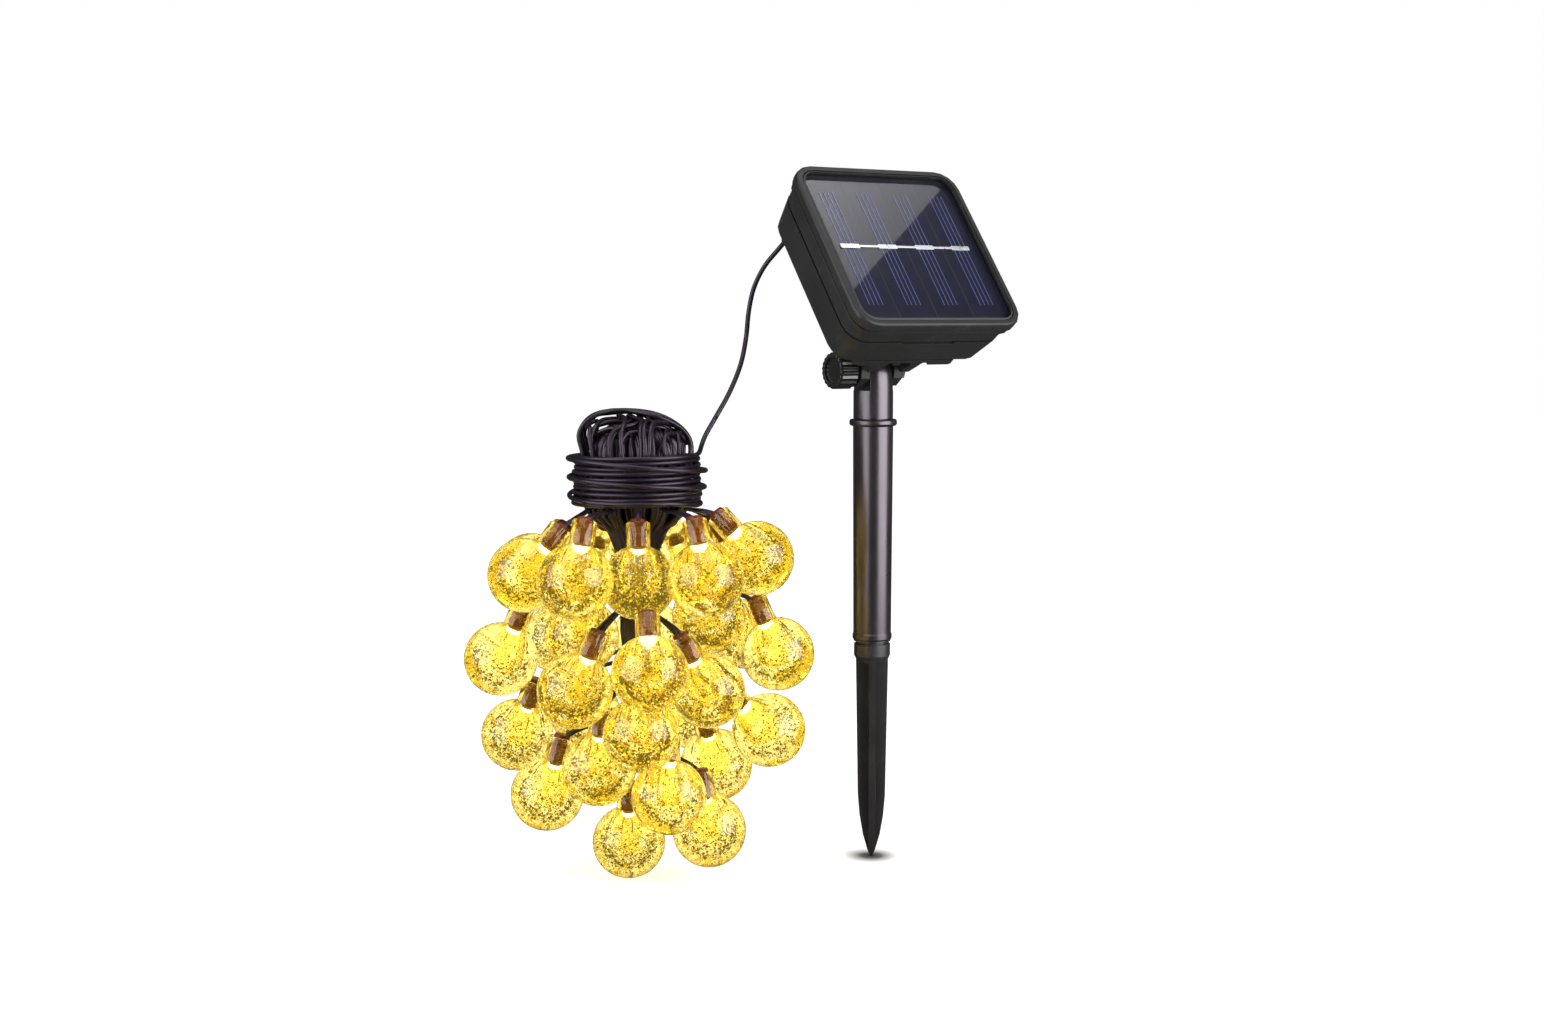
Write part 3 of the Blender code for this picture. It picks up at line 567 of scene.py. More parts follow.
def lead_points():
    """The lead's free stretch in two parts, which meet at the point that the pivot carries."""
    start = [HEAD @ (Vector((*GLAND_PLACE, z)) * MM) / MM for z in GLAND_HEIGHTS]
    upper = smooth_route(start + [Vector(p) for p in LEAD_ROUTE[:LEAD_SPLIT + 2]], LEAD_SPACING)
    lower = smooth_route([Vector(p) for p in LEAD_ROUTE[LEAD_SPLIT - 1:]], LEAD_SPACING)

    def cut(route, first, last):
        place = [int(np.argmin(np.linalg.norm(route - np.array(p, float), axis=1)))
                 for p in (first, last)]
        return route[place[0]:place[1] + 1]

    split, end = LEAD_ROUTE[LEAD_SPLIT], LEAD_ROUTE[LEAD_END]
    return cut(upper, tuple(start[0]), split), cut(lower, split, end)


def lay_cord(stands_for):
    """Hide the CAD piece that a piece of cord stands for."""
    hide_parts(stands_for)


def make_lead():
    """The free stretch: its upper part bends with the tilt, its lower part with the swivel."""
    upper, lower = lead_points()
    top = tube("lead_upper", upper, CORD_DIAMETER / 2, 12, CORD_MAT)
    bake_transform(top, "head", "pivot", start=upper[3] * MM, end=upper[-1] * MM)
    low = tube("lead_lower", lower, CORD_DIAMETER / 2, 12, CORD_MAT)
    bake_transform(low, "pivot", "stake", start=lower[0] * MM, end=lower[-1] * MM)
    lay_cord("lead_cord")
    lay_cord("lead_cord")


# ---------------- hank of wires

def at_bearing(bearing, reach, height):
    """A point round the bundle's axis: bearing in degrees, 0 to the front, + to the right."""
    angle = math.radians(bearing)
    return np.array([AXIS_X + reach * math.sin(angle), AXIS_Y - reach * math.cos(angle), height])


def bearing_of(point):
    return math.degrees(math.atan2(point[0] - AXIS_X, AXIS_Y - point[1]))


def gap_between(a, b):
    """The smaller angle between two bearings, in degrees."""
    return abs((a - b + 180) % 360 - 180)


DOME_BASE = WINDING_HIGH + 2.0
DOME_HEIGHT = 12.8
DOME_POWER = 3.0  # how square its shoulders are
DOME_SKEW = 0.05  # how much squarer for each millimetre to the left
DOME_LEAN = 0.13  # how much lower it is on the right, as a share
DOME_BULGE = 0.12  # how far it overhangs on the left, as a share
BULGE_RISE = 4.0  # the height in which that overhang grows
NECK_REACH = 20.4
BIGHT_STEPS = 60
SWAY = 2.2  # how far a bight wavers to each side
LIFT = 0.35  # and up and down
DEPTH_SPREAD = 0.6  # how far layers and directions stray
TURN_SPREAD = 19.0
# Bights over the dome, outermost layer first: how deep the layer lies, the direction in
# which its bights run (0 is left to right), and each bight's distance from the middle.
BIGHT_LAYERS = [
    (0.0, 4.0, (-4.5, 0.5, 5.5, 11.0)),
    (1.7, 90.0, (-16.5, -13.8, -11.0, -8.3, -5.4, -2.4, 1.0, 4.4, 14.6)),
    (3.3, 52.0, (-14.0, -10.5, -7.0, -3.5, 0.0, 3.5, 7.0, 10.5)),
    (4.9, -48.0, (-12.5, -9.0, -5.5, -2.0, 1.5, 5.0, 8.5, 12.0)),
]


def dome_height(x, y, depth):
    """Height of the hank's dome at a place off its axis; it is fuller on the left."""
    reach = NECK_REACH - depth
    power = DOME_POWER - DOME_SKEW * x
    share = min(math.hypot(x, y) / reach, 1.0)
    lean = 1 - DOME_LEAN * x / NECK_REACH
    return DOME_BASE + (DOME_HEIGHT - depth) * lean * math.sqrt(max(0.0, 1 - share ** power))


def make_bight(depth, turn, offset, rng):
    """One wire over the dome, as points from one side of the neck to the other."""
    depth = max(0.0, depth + rng.uniform(-DEPTH_SPREAD, DEPTH_SPREAD))
    reach = NECK_REACH - depth
    turn = math.radians(turn + rng.uniform(-TURN_SPREAD, TURN_SPREAD))
    along = np.array([math.cos(turn), math.sin(turn)])
    across = np.array([-along[1], along[0]])
    half = math.sqrt(max(1.0, reach ** 2 - offset ** 2))
    waves, phase = rng.choice((1.0, 1.5, 2.0)), rng.uniform(0, 6.28)
    points = []
    for i in range(BIGHT_STEPS + 1):
        t = -math.cos(math.pi * i / BIGHT_STEPS)
        sway = SWAY * (1 - t * t) * math.sin(waves * math.pi * t + phase)
        x, y = along * t * half + across * (offset + sway)
        height = dome_height(x, y, depth)
        risen = min(1.0, (height - DOME_BASE) / BULGE_RISE)
        bulge = 1 + (DOME_BULGE * risen if x < 0 else 0.0)
        lift = LIFT * math.sin(3 * t + phase) * (1 - t * t)
        points.append((AXIS_X + x * bulge, AXIS_Y + y, height + lift))
    return np.array(points)


STEM_TOP = 121.0
STEM_INSIDE, STEM_OUTSIDE = 1.6, 8.2  # how far from the axis wires run up the stem
NECK_LOW = WINDING_LOW + 1.5
WIRE_ROOM = 0.9  # enough room between a wire and the globes
TWIST_STEPS = 13


def socket_top(number, side):
    """Where one of a bulb's two wires enters its socket, and the way that it points."""
    matrix = GLOBES[number - 1]
    direction = matrix.to_3x3() @ Vector((0, 0, 1))
    inward = Vector((AXIS_X, AXIS_Y, 0)) - matrix.translation / MM
    inward.z = 0
    beside = direction.cross(inward)
    beside = beside.normalized() if beside.length > 1e-3 else Vector((1, 0, 0))
    place = matrix.translation / MM + direction * (NECK_TOP - 2.0) + beside * (side * 1.0)
    return np.array(place), np.array(direction)


def clearance(points, number):
    """The least room between a wire and the globes that it passes."""
    least = 99.0
    for other, matrix in enumerate(GLOBES, start=1):
        centre = np.array(matrix.translation) / MM
        size = GLOBE_RADIUS if other != number else GLOBE_RADIUS - 1
        least = min(least, float(np.linalg.norm(points - centre, axis=1).min()) - size)
    return least


def leg_to_neck(number, side, rank):
    """One wire from a socket up into the neck, as points, socket first.

    Wires of the lower bulbs run up the stem: rank, 0 to 1, is how near its outside. The way in
    from the socket is the first of several that keeps clear of the globes, or else the clearest.
    """
    top, direction = socket_top(number, side)
    bearing = bearing_of(top)
    entry = at_bearing(bearing + side * 4, NECK_REACH - 2.5 * rank - 1.0, NECK_LOW)
    if top[2] > STEM_TOP:
        return bezier(top, direction * 7, entry, (0, 0, -4), 24)
    best = None
    reach = STEM_INSIDE + (STEM_OUTSIDE - STEM_INSIDE) * rank
    for rise in (14, 9, 18, 5, 24, 0, 30, -8):
        for swing in (0, 15, -15, 30, -30, 50, -50):
            join = min(top[2] + rise, STEM_TOP - 4)
            stem = at_bearing(bearing + swing + side * 7, reach, join)
            first = bezier(top, direction * 6.5, stem, (0, 0, -6.5), 26)
            room = clearance(first, number)
            if best is None or room > best[0] + 0.15:
                best = (room, first, stem)
        if best[0] > WIRE_ROOM:
            break
    stem = best[2]
    column = np.linspace(stem, [stem[0], stem[1], STEM_TOP], 12)[1:]
    flare = bezier(column[-1], (0, 0, 7), entry, (0, 0, -7), 16)[1:]
    return np.concatenate([best[1], column, flare])


def twist(leg, target):
    """The stretch inside the neck, from a leg's end to the foot of its bight."""
    a = bearing_of(leg[-1])
    b = a + (bearing_of(target) - a + 180) % 360 - 180
    ra = math.hypot(leg[-1][0] - AXIS_X, leg[-1][1] - AXIS_Y)
    rb = math.hypot(target[0] - AXIS_X, target[1] - AXIS_Y)
    points = []
    for i in range(1, TWIST_STEPS):
        t = i / TWIST_STEPS
        s = ease(t)
        points.append(at_bearing(a + (b - a) * s, ra + (rb - ra) * s,
                                 leg[-1][2] + (target[2] - leg[-1][2]) * t))
    return np.array(points)


SPAN_TARGET = 190.0
FIRST_BULB = 7
ORDER_TRIALS = 14000


def choose_order(bights, reach_of, first, rng):
    """An order of the bulbs and bights in which wires cross little and spans are alike."""
    bulbs = [first] + [n for n in range(1, BULBS + 1) if n != first]
    uses = list(range(len(bights)))
    rng.shuffle(uses)
    flips = [False] * len(bights)
    bearings = {n: bearing_of(np.array(GLOBES[n - 1].translation) / MM) for n in bulbs}
    ends = [(bearing_of(b[0]), bearing_of(b[-1])) for b in bights]
    sizes = [length_of(b) for b in bights]

    def cost(k):
        a, b = ends[uses[k]]
        if flips[k]:
            a, b = b, a
        turned = gap_between(bearings[bulbs[k]], a) + gap_between(bearings[bulbs[k + 1]], b)
        span = sizes[uses[k]] + reach_of[bulbs[k]] + reach_of[bulbs[k + 1]]
        return turned ** 1.5 / 8 + abs(span - SPAN_TARGET)

    def total(ks):
        return sum(cost(k) for k in ks if 0 <= k < len(bights))

    def change(kind, i, j):
        """Swap two bights, turn one round or swap two bulbs; a second time undoes it."""
        if kind == 0:
            uses[i], uses[j] = uses[j], uses[i]
        elif kind == 1:
            flips[i] = not flips[i]
        else:
            bulbs[i + 1], bulbs[j + 1] = bulbs[j + 1], bulbs[i + 1]

    for _ in range(ORDER_TRIALS):
        i, j = rng.sample(range(len(bights)), 2)
        kind = rng.randrange(3)
        near = ({i, j}, {i}, {i, i + 1, j, j + 1})[kind]
        before = total(near)
        change(kind, i, j)
        if total(near) > before:
            change(kind, i, j)
    return bulbs, uses, flips


def make_string():
    """The bulbs' wires, each from one socket up through the neck, over the dome and down to the
    next socket. Returns the first bulb's other leg, which the lead goes on into."""
    rng = random.Random(11)
    bights = [make_bight(depth, turn, offset, rng)
              for depth, turn, offsets in BIGHT_LAYERS for offset in offsets]
    heights = {n: socket_top(n, 1)[0][2] for n in range(1, BULBS + 1)}
    by_height = sorted(heights, key=heights.get)
    ranks = {n: by_height.index(n) / (BULBS - 1) for n in heights}
    legs = {(n, side): leg_to_neck(n, side, ranks[n]) for n in heights for side in (-1, 1)}
    reach_of = {n: length_of(legs[n, 1]) + DOME_BASE - NECK_LOW for n in heights}
    bulbs, uses, flips = choose_order(bights, reach_of, FIRST_BULB, rng)
    for k, (here, there) in enumerate(zip(bulbs, bulbs[1:])):
        path = bights[uses[k]]
        if flips[k]:
            path = path[::-1]
        out, back = legs[here, 1], legs[there, -1]
        points = np.concatenate([out, twist(out, path[0]), path, twist(back, path[-1])[::-1],
                                 back[::-1]])
        points = resample(relax(resample(points, 1.2), 6), 1.6)
        wire = tube(f"string_wire_{k + 1:02d}", points, WIRE_DIAMETER / 2, 10, CORD_MAT)
        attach(wire, "stake")
        lay_cord("light_harness")
    return legs[FIRST_BULB, -1]


INNER_REACH = 22.4
INNER_SPREAD = 0.5  # how much wider the inner layer gets on its way down
OUTER_REACH = 24.2
INNER_TURNS = 10
OUTER_TURNS = 2.7
STEP_OUT = 0.12  # the turns in which the cord climbs onto the inner layer
STEPS_PER_TURN = 48
WINDING_START = 75.0  # bearing
SHAKES_PER_TURN = 3
# The cord's ways in over the top and down into the neck: bearings from the start or the end
# of the turns, distances from the axis, and heights above the winding.
WAY_IN = ((25, 23.6, 1.2), (13, 22.9, -0.2))
WAY_OUT = ((-14, 23.4, 1.0), (-24, 20.6, 1.6), (-30, 17.6, -0.5), (-32, 16.2, -5.0))


def winding_points(last_leg):
    """The lead's turns round the neck: down in one close layer, back up over it, and in."""
    rng = random.Random(5)
    shakes = [rng.uniform(-1, 1) for _ in range(64)]

    def drift(turns, seed):
        place = turns * SHAKES_PER_TURN
        whole, share = int(place) + seed, ease(place - int(place))
        return shakes[whole % 64] * (1 - share) + shakes[(whole + 1) % 64] * share

    def over(bearing, way):
        return [at_bearing(bearing + turn, reach, WINDING_HIGH + rise) for turn, reach, rise in way]

    ring = over(WINDING_START, WAY_IN)
    top, low = WINDING_HIGH - CORD_DIAMETER / 2, WINDING_LOW + CORD_DIAMETER / 2
    for i in range(int(INNER_TURNS * STEPS_PER_TURN) + 1):
        turns = i / STEPS_PER_TURN
        height = top + (low - top) * turns / INNER_TURNS + 0.25 * drift(turns, 0)
        reach = INNER_REACH + INNER_SPREAD * turns / INNER_TURNS + 0.45 * drift(turns, 9)
        ring.append(at_bearing(WINDING_START - 360 * turns, reach, height))
    for i in range(1, int(OUTER_TURNS * STEPS_PER_TURN) + 1):
        turns = i / STEPS_PER_TURN
        out = min(1.0, turns / STEP_OUT)
        reach = INNER_REACH + INNER_SPREAD + (OUTER_REACH - INNER_REACH) * ease(out)
        height = low + out + (top - low - 1.0) * turns / OUTER_TURNS + 1.1 * drift(turns, 20) * out
        reach += 0.6 * drift(turns, 31)
        ring.append(at_bearing(WINDING_START - 360 * turns, reach, height))
    ring += over(WINDING_START - 360 * OUTER_TURNS, WAY_OUT)
    tail = twist(last_leg, ring[-1])[::-1]
    path = smooth_route(list(LEAD_ROUTE[LEAD_END:]) + ring, 1.6)
    points = np.concatenate([path, tail, last_leg[::-1]])
    return resample(relax(resample(points, 1.2), 4), 1.9)


def make_winding(last_leg):
    """The lead's winding, and its end, down through the hank to the first bulb."""
    points = winding_points(last_leg)
    obj = tube("lead_winding", points, CORD_DIAMETER / 2, 10, CORD_MAT)
    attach(obj, "stake")
    lay_cord("cord_winding")


# ---------------- hank core

CORE_PROFILE = [(0, 58), (2.0, 60), (4.5, 74), (6.2, 92), (6.6, 112), (8.0, 122), (11.5, 131),
                (15.0, 139), (15.8, 148), (15.6, 158), (15.0, 161), (13.2, 164.2), (9.5, 166.6),
                (5.0, 167.8), (0, 168.2)]
CORE_WIRES = 26  # ridges round the core, each like a wire


def make_core():
    """The inner wires of the hank, as one ridged body inside the wires that show."""

    def wave(angle, height):
        ridges = 0.05 * math.sin(CORE_WIRES * angle + height * 0.12)
        swell = 0.02 * math.sin(7 * angle + height * 0.2)
        return 1 + ridges + swell

    bm = bmesh.new()
    lathe(bm, CORE_PROFILE, CORE_WIRES * 6, wave=wave)
    bm.transform(Matrix.Translation((AXIS_X * MM, AXIS_Y * MM, 0)))
    core = add_mesh("hank_core", bm, 60.0)
    core.data.materials.append(CORD_MAT)
    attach(core, "stake")
    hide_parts("light_harness")


# ---------------- bulbs

def acrylic(name, tint, glow, crackle, relief):
    """Clear acrylic, tinted and lit warm yellow, with crackle of one size in its surface."""
    shader = Shader(name, tint, 0.02, IOR=1.42, Transmission_Weight=1.0, Emission_Strength=glow,
                    Specular_IOR_Level=0.25)
    slow = shader.noise(150.0, 3.0)
    patches = shader.ramp(slow, (0.35, 0.0), (0.65, 1.0))
    shader.set(shader.main, Emission_Color=shader.mix(patches, (1.0, 0.62, 0.02), (1.0, 0.78, 0.12)))
    shader.bump(shader.cells(1000.0 / crackle), 0.5, relief)
    return shader.mat


def bead_material(name, colour, glow):
    """A bubble's finish: it glows in its own colour, some bubbles more than others."""
    shader = Shader(name, colour, 0.4, Emission_Strength=glow, Specular_IOR_Level=0.1)
    slow = shader.noise(500.0, 2.0)
    darker = tuple(c * 0.5 for c in colour)
    lighter = tuple(min(1.0, c * 1.4) for c in colour)
    tone = shader.mix(slow, darker, lighter)
    shader.set(shader.main, Base_Color=tone, Emission_Color=tone)
    return shader.mat


def glow_material():
    """The lit lens of a bulb's lamp."""
    shader = Shader("led_glow", (1.0, 0.95, 0.7), 0.4, Emission_Strength=7.0)
    tone = shader.mix(shader.noise(700.0, 2.0), (1.0, 0.93, 0.62), (1.0, 1.0, 0.92))
    shader.set(shader.main, Emission_Color=tone)
    return shader.mat


CAVITY = [(NECK_BORE, 11.5), (3.7, 9.8), (4.7, 7.2), (5.6, 4.0), (5.9, 1.2), (5.5, -1.2),
          (4.3, -3.0), (2.4, -4.1), (0.0, -4.5)]
CAVITY_REACH = 9.0  # nothing but the cavity lies nearer to the centre
BALL_STEPS = 18
SKIN, INSIDE, SLEEVE = range(3)  # a globe's materials, in order
DARK, GOLD, BRIGHT = range(3)  # its bubbles' materials, in order


def turned(name, profile, steps, materials):
    """A mesh turned from a profile, to be shared by several pieces."""
    bm = bmesh.new()
    lathe(bm, profile, steps)
    holder = add_mesh(name, bm, 50.0)
    mesh = holder.data
    bpy.data.objects.remove(holder)
    for material in materials:
        mesh.materials.append(material)
    return mesh


def globe_mesh(materials):
    """The acrylic: a ball with its neck, and a pear-shaped cavity that opens into the neck."""
    join = math.acos(NECK_RADIUS / GLOBE_RADIUS)
    profile = [(0.0, -GLOBE_RADIUS)]
    for i in range(1, BALL_STEPS + 1):
        angle = -math.pi / 2 + (math.pi / 2 + join) * i / BALL_STEPS
        profile.append((GLOBE_RADIUS * math.cos(angle), GLOBE_RADIUS * math.sin(angle)))
    neck_low = profile[-1][1]
    profile += [(NECK_RADIUS, NECK_TOP - 0.4), (NECK_RADIUS - 0.3, NECK_TOP),
                (NECK_BORE + 0.2, NECK_TOP), (NECK_BORE, NECK_TOP - 0.3)]
    mesh = turned("globe_kind", profile + CAVITY, 52, materials)
    for face in mesh.polygons:
        middle = face.center / MM
        in_neck = middle.z > 0 and middle.xy.length < NECK_RADIUS
        if middle.z > neck_low:
            face.material_index = SLEEVE
        elif in_neck or middle.length < CAVITY_REACH:
            face.material_index = INSIDE
    return mesh


class Bubbles:
    """Small faceted bubbles of a globe, gathered into one mesh."""

    CORNERS = np.array([(1, 0, 0), (-1, 0, 0), (0, 1, 0), (0, -1, 0), (0, 0, 1), (0, 0, -1)], float)
    SIDES = np.array([(0, 2, 4), (2, 1, 4), (1, 3, 4), (3, 0, 4),
                      (2, 0, 5), (1, 2, 5), (3, 1, 5), (0, 3, 5)])
    NECK_SHARE = 0.78  # no bubbles in directions steeper than this: the neck is there

    def __init__(self, seed):
        self.rng = np.random.default_rng(seed)
        self.verts, self.kinds = [], []

    def add(self, place, size, kind, turn=None):
        if turn is None:
            turn = np.linalg.qr(self.rng.normal(size=(3, 3)))[0]
        self.verts.append(place + (self.CORNERS * size) @ np.array(turn).T)
        self.kinds.append(kind)

    def scatter(self, count, low, high, upper, sizes, kind):
        """Bubbles between two distances from the centre; upper is the share in the upper half."""
        made = 0
        while made < count:
            way = self.rng.normal(size=3)
            way /= np.linalg.norm(way)
            if way[2] > self.NECK_SHARE or (way[2] > 0.1 and self.rng.random() > upper):
                continue
            size = self.rng.uniform(*sizes) * np.array([1.0, self.rng.uniform(0.6, 1.0), 1.2])
            self.add(way * self.rng.uniform(low, high), size, kind)
            made += 1

    def streaks(self, count):
        """Drawn-out bubbles that run down the cavity's shoulder from the neck."""
        for i in range(count):
            angle = 2 * math.pi * (i + self.rng.uniform(-0.3, 0.3)) / count
            out = np.array([math.cos(angle), math.sin(angle), 0])
            top = out * 4.6 + (0, 0, 9.4)
            low = out * 6.4 + (0, 0, self.rng.uniform(3.0, 5.5))
            along = (top - low) / np.linalg.norm(top - low)
            side = np.cross(along, out)
            side /= np.linalg.norm(side)
            size = (0.22, self.rng.uniform(0.22, 0.38), np.linalg.norm(top - low) / 2)
            turn = np.stack([side, np.cross(along, side), along], axis=1)
            self.add((top + low) / 2, size, DARK if i % 3 else BRIGHT, turn)

    def mesh(self, name, materials):
        verts = np.concatenate(self.verts) * MM
        corners, sides = len(self.CORNERS), len(self.SIDES)
        faces = np.concatenate([self.SIDES + corners * i for i in range(len(self.verts))])
        mesh = bpy.data.meshes.new(name)
        mesh.from_pydata(verts.tolist(), [], faces.tolist())
        mesh.polygons.foreach_set("material_index", np.repeat(self.kinds, sides))
        mesh.shade_smooth()
        for material in materials:
            mesh.materials.append(material)
        return mesh


BUBBLE_MIXES = [(1.0, 11), (0.55, 5), (0.8, 8)]  # each mix's share of bubbles, and its streaks


def bubble_mesh(variant, materials):
    """One of the mixes of bubbles: many, few, or in between."""
    share, streaks = BUBBLE_MIXES[variant]
    bubbles = Bubbles(40 + variant)
    bubbles.scatter(int(520 * share), 9.0, 12.7, 0.35, (0.16, 0.36), DARK)
    bubbles.scatter(int(560 * share), 6.2, 7.4, 0.6, (0.18, 0.40), DARK)
    bubbles.scatter(int(560 * share), 8.0, 12.8, 1.0, (0.20, 0.45), GOLD)
    bubbles.scatter(int(320 * share), 8.0, 12.8, 1.0, (0.16, 0.32), BRIGHT)
    bubbles.streaks(streaks)
    return bubbles.mesh(f"bubble_kind_{variant}", materials)


SOCKET_RIBS = 5


def socket_profile():
    """The lamp socket: a ribbed plug with a rounded end."""
    profile = [(0, 9.9), (2.9, 9.9), (3.0, 10.2)]
    for i in range(SOCKET_RIBS):
        z = 11.0 + i * 2.0
        profile += [(3.0, z), (2.7, z + 0.25), (2.7, z + 0.75), (3.0, z + 1.0)]
    return profile + [(3.0, 22.0), (2.7, 22.7), (0, 22.9)]


GLOW_PROFILE = [(0, 7.4), (1.2, 7.5), (2.3, 8.0), (3.0, 8.8), (3.1, 9.3), (2.8, 9.7), (0, 9.7)]


def make_bulbs():
    """Each bulb's globe, bubbles, lit lens and socket, from meshes that the bulbs share."""
    rng = random.Random(3)
    acrylic_parts = [acrylic("globe_skin", (0.965, 0.84, 0.26), 0.08, 1.0, 0.08),
                     acrylic("globe_inside", (0.97, 0.86, 0.34), 0.08, 0.7, 0.16),
                     acrylic("globe_sleeve", (0.97, 0.78, 0.22), 0.01, 2.5, 0.008)]
    bubble_parts = [bead_material("bubble_dark", (0.10, 0.065, 0.003), 0.25),
                    bead_material("bubble_gold", (0.70, 0.45, 0.02), 0.42),
                    bead_material("bubble_bright", (1.0, 0.82, 0.25), 0.9)]
    globe = globe_mesh(acrylic_parts)
    bubbles = [bubble_mesh(variant, bubble_parts) for variant in range(len(BUBBLE_MIXES))]
    glow = turned("glow_kind", GLOW_PROFILE, 28, [glow_material()])
    socket = turned("socket_kind", socket_profile(), 28, [socket_material()])
    for number, matrix in enumerate(GLOBES, start=1):
        spin = Matrix.Rotation(rng.uniform(0, 2 * math.pi), 4, "Z")
        pieces = (("globe", globe, "globe_plastic"),
                  ("bubbles", bubbles[number % len(bubbles)], "globe_plastic"),
                  ("glow", glow, "globe_plastic"), ("socket", socket, "socket_plastic"))
        for kind, mesh, slot in pieces:
            piece = bpy.data.objects.new(f"{kind}_{number:02d}", mesh)
            bpy.context.scene.collection.objects.link(piece)
            piece.matrix_world = matrix @ spin
            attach(piece, "stake")
            if kind == "globe":
                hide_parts(f"bulb_globe_{number:02d}")


# ---------------- studio

CAMERA_PLACE = Vector((-0.0382, -0.759, 0.208))
CAMERA_PITCH = 84.4
CAMERA_LENS = 46.87
STUDIO_MIDDLE = (-0.03, 0.0, 0.12)
# Each softbox's name, place, width, height and radiance; all face the middle.
SOFTBOXES = [
    ("left", (-0.66, -0.45, 0.34), 0.95, 0.8, 3.9),
    ("right", (0.64, -0.40, 0.34), 0.85, 0.8, 6.2),
    ("top", (-0.1, -0.15, 1.1), 0.9, 0.9, 2.5),
]
WORLD_LIGHT = 0.07
# The panel mirrors a softbox whose edge runs between these two points of its face.
SHEEN_EDGE = ((33.9, 55.6), (-32.4, 3.0))
SHEEN_INSIDE = (-32.0, 56.0)
SHEEN_DISTANCE = 1.0
SHEEN_SIZE = (0.5, 0.3)
SHEEN_RADIANCE = (1.35, 3.45)  # at its edge, and from SHEEN_GROWTH of its height upwards
SHEEN_GROWTH = 0.4
PAINTED_SHADOW_SPOT = (0.003, 0.011)  # radii of the painted shadow, a dark spot in the floor's colour and glow, under the spike's tip


def softbox(name, place, target, width, height, radiance):
    """An area light that faces a target, as bright as asked, and not seen itself."""
    data = bpy.data.lights.new(name, "AREA")
    data.shape = "RECTANGLE"
    data.size, data.size_y = width, height
    data.energy = radiance * math.pi * width * height
    light = bpy.data.objects.new(name, data)
    light.location = place
    light.rotation_euler = (Vector(target) - Vector(place)).to_track_quat("-Z", "Y").to_euler()
    light.visible_camera = False
    bpy.context.scene.collection.objects.link(light)
    return light


def make_sheen():
    """The softbox that the solar cells mirror over one half, up to a diagonal edge."""
    normal = HEAD.to_3x3() @ Vector((0, 0, 1))

    def mirrored(place):
        point = HEAD @ (Vector((*place, RESIN_TOP)) * MM)
        ray = (point - CAMERA_PLACE).normalized()
        point += ray * (RESIN_TOP - CELL_TOP) * MM / -ray.dot(normal)
        return point + (ray - 2 * ray.dot(normal) * normal) * SHEEN_DISTANCE

    a, b = (mirrored(place) for place in SHEEN_EDGE)
    inside = mirrored(SHEEN_INSIDE)
    panel = HEAD @ (Vector((0, FACE_CENTRE, RESIN_TOP)) * MM)
    along = (b - a).normalized()
    back = ((a + b) / 2 - panel).normalized()
    back = (back - along * back.dot(along)).normalized()
    side = back.cross(along)
    if side.dot(inside - a) < 0:
        side = -side
    width, height = SHEEN_SIZE
    light = softbox("sheen", (a + b) / 2 + side * height / 2, panel, width, height, 1.0)
    light.rotation_euler = Matrix((side.cross(back), side, back)).transposed().to_euler()
    brighten_upwards(light.data, *SHEEN_RADIANCE, SHEEN_GROWTH)


def brighten_upwards(data, low, high, reach):
    """Let an area light grow from low at its lower edge to high at a share of its height."""
    data.use_nodes = True
    nodes, links = data.node_tree.nodes, data.node_tree.links
    split = nodes.new("ShaderNodeSeparateXYZ")
    links.new(nodes.new("ShaderNodeNewGeometry").outputs["Parametric"], split.inputs[0])
    grow = nodes.new("ShaderNodeMapRange")
    for socket, value in (("From Max", reach), ("To Min", low), ("To Max", high)):
        grow.inputs[socket].default_value = value
    links.new(split.outputs["Y"], grow.inputs["Value"])
    links.new(grow.outputs[0], nodes["Emission"].inputs["Strength"])


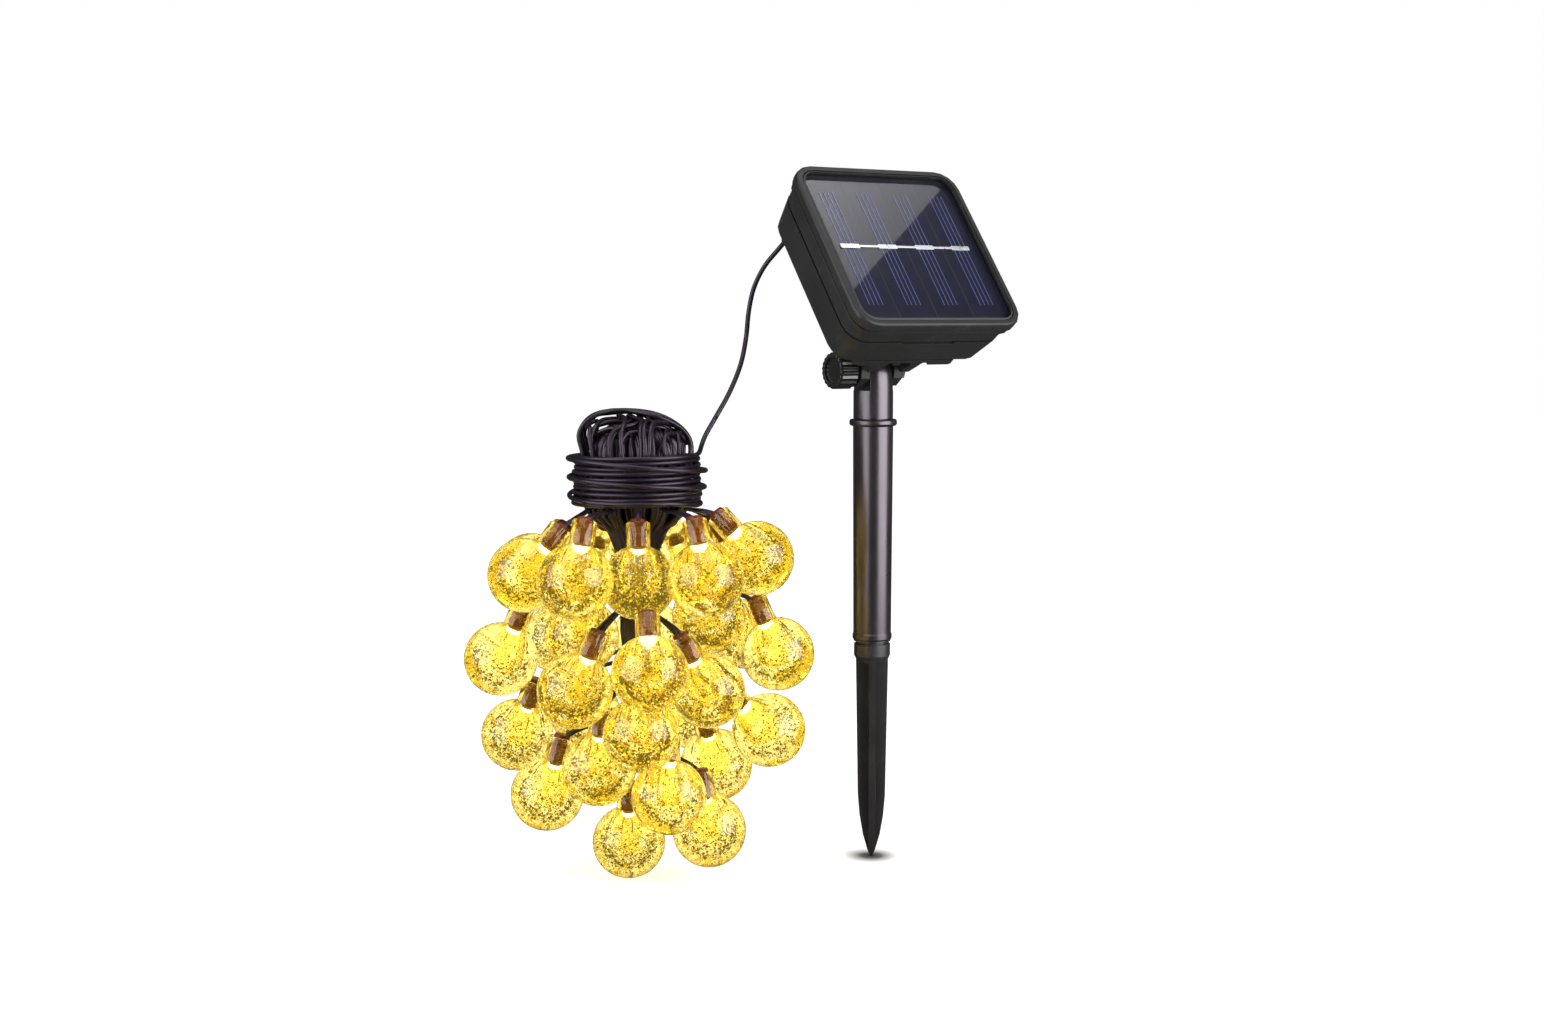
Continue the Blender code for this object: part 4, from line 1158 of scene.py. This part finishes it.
def make_world():
    """White to the camera and through clear pieces, dimmer for what it lights."""
    scene = bpy.context.scene
    world = bpy.data.worlds.new("studio")
    scene.world = world
    world.use_nodes = True
    nodes, links = world.node_tree.nodes, world.node_tree.links
    seen, lit = nodes["Background"], nodes.new("ShaderNodeBackground")
    for node, strength in ((seen, 1.0), (lit, WORLD_LIGHT)):
        node.inputs["Color"].default_value = (1, 1, 1, 1)
        node.inputs["Strength"].default_value = strength
    path = nodes.new("ShaderNodeLightPath")
    either = nodes.new("ShaderNodeMath")
    either.operation = "MAXIMUM"
    links.new(path.outputs["Is Camera Ray"], either.inputs[0])
    links.new(path.outputs["Is Transmission Ray"], either.inputs[1])
    mix = nodes.new("ShaderNodeMixShader")
    links.new(either.outputs[0], mix.inputs["Fac"])
    links.new(lit.outputs[0], mix.inputs[1])
    links.new(seen.outputs[0], mix.inputs[2])
    links.new(mix.outputs[0], nodes["World Output"].inputs["Surface"])


def make_floor():
    """A glowing white floor, which fades to white with distance, with a painted shadow under the spike's tip."""
    bm = bmesh.new()
    bmesh.ops.create_grid(bm, x_segments=1, y_segments=1, size=8.0)
    floor = add_mesh("floor", bm)
    shader = Shader("floor", (0.6, 0.6, 0.6), 0.2, Specular_IOR_Level=0.02,
                    Emission_Color=(1.0, 1.0, 1.0, 1.0))
    distance = shader.nodes.new("ShaderNodeVectorMath")
    distance.operation = "LENGTH"
    shader.links.new(shader.where, distance.inputs[0])
    away = distance.outputs["Value"]
    # Dark colour and no glow near the spike's tip: a painted shadow.
    near, far = PAINTED_SHADOW_SPOT
    shader.set(shader.main, Base_Color=shader.ramp(away, (near, 0.02), (far, 0.6)),
               Emission_Strength=shader.ramp(away, (near, 0.0), (far, 0.6), (0.8, 0.97)))
    floor.data.materials.append(shader.mat)
    floor.visible_glossy = False


def make_camera():
    data = bpy.data.cameras.new("camera")
    data.sensor_width = 36.0
    data.lens = CAMERA_LENS
    data.clip_start = 0.01
    camera = bpy.data.objects.new("camera", data)
    camera.location = CAMERA_PLACE
    camera.rotation_euler = (math.radians(CAMERA_PITCH), 0, 0)
    bpy.context.scene.collection.objects.link(camera)
    bpy.context.scene.camera = camera


def make_studio():
    """Floor, world, lights and camera, with enough bounces for light to cross several globes."""
    scene = bpy.context.scene
    scene.view_settings.view_transform = "Standard"
    scene.cycles.max_bounces = 40
    scene.cycles.transmission_bounces = 40
    scene.cycles.transparent_max_bounces = 24
    scene.cycles.sample_clamp_indirect = 3.0
    make_floor()
    make_world()
    for name, place, width, height, radiance in SOFTBOXES:
        softbox(name, place, STUDIO_MIDDLE, width, height, radiance)
    make_sheen()
    make_camera()


make_studio()
make_hard_parts()
make_fingers()
make_backing()
make_lead()
make_winding(make_string())
make_core()
make_bulbs()
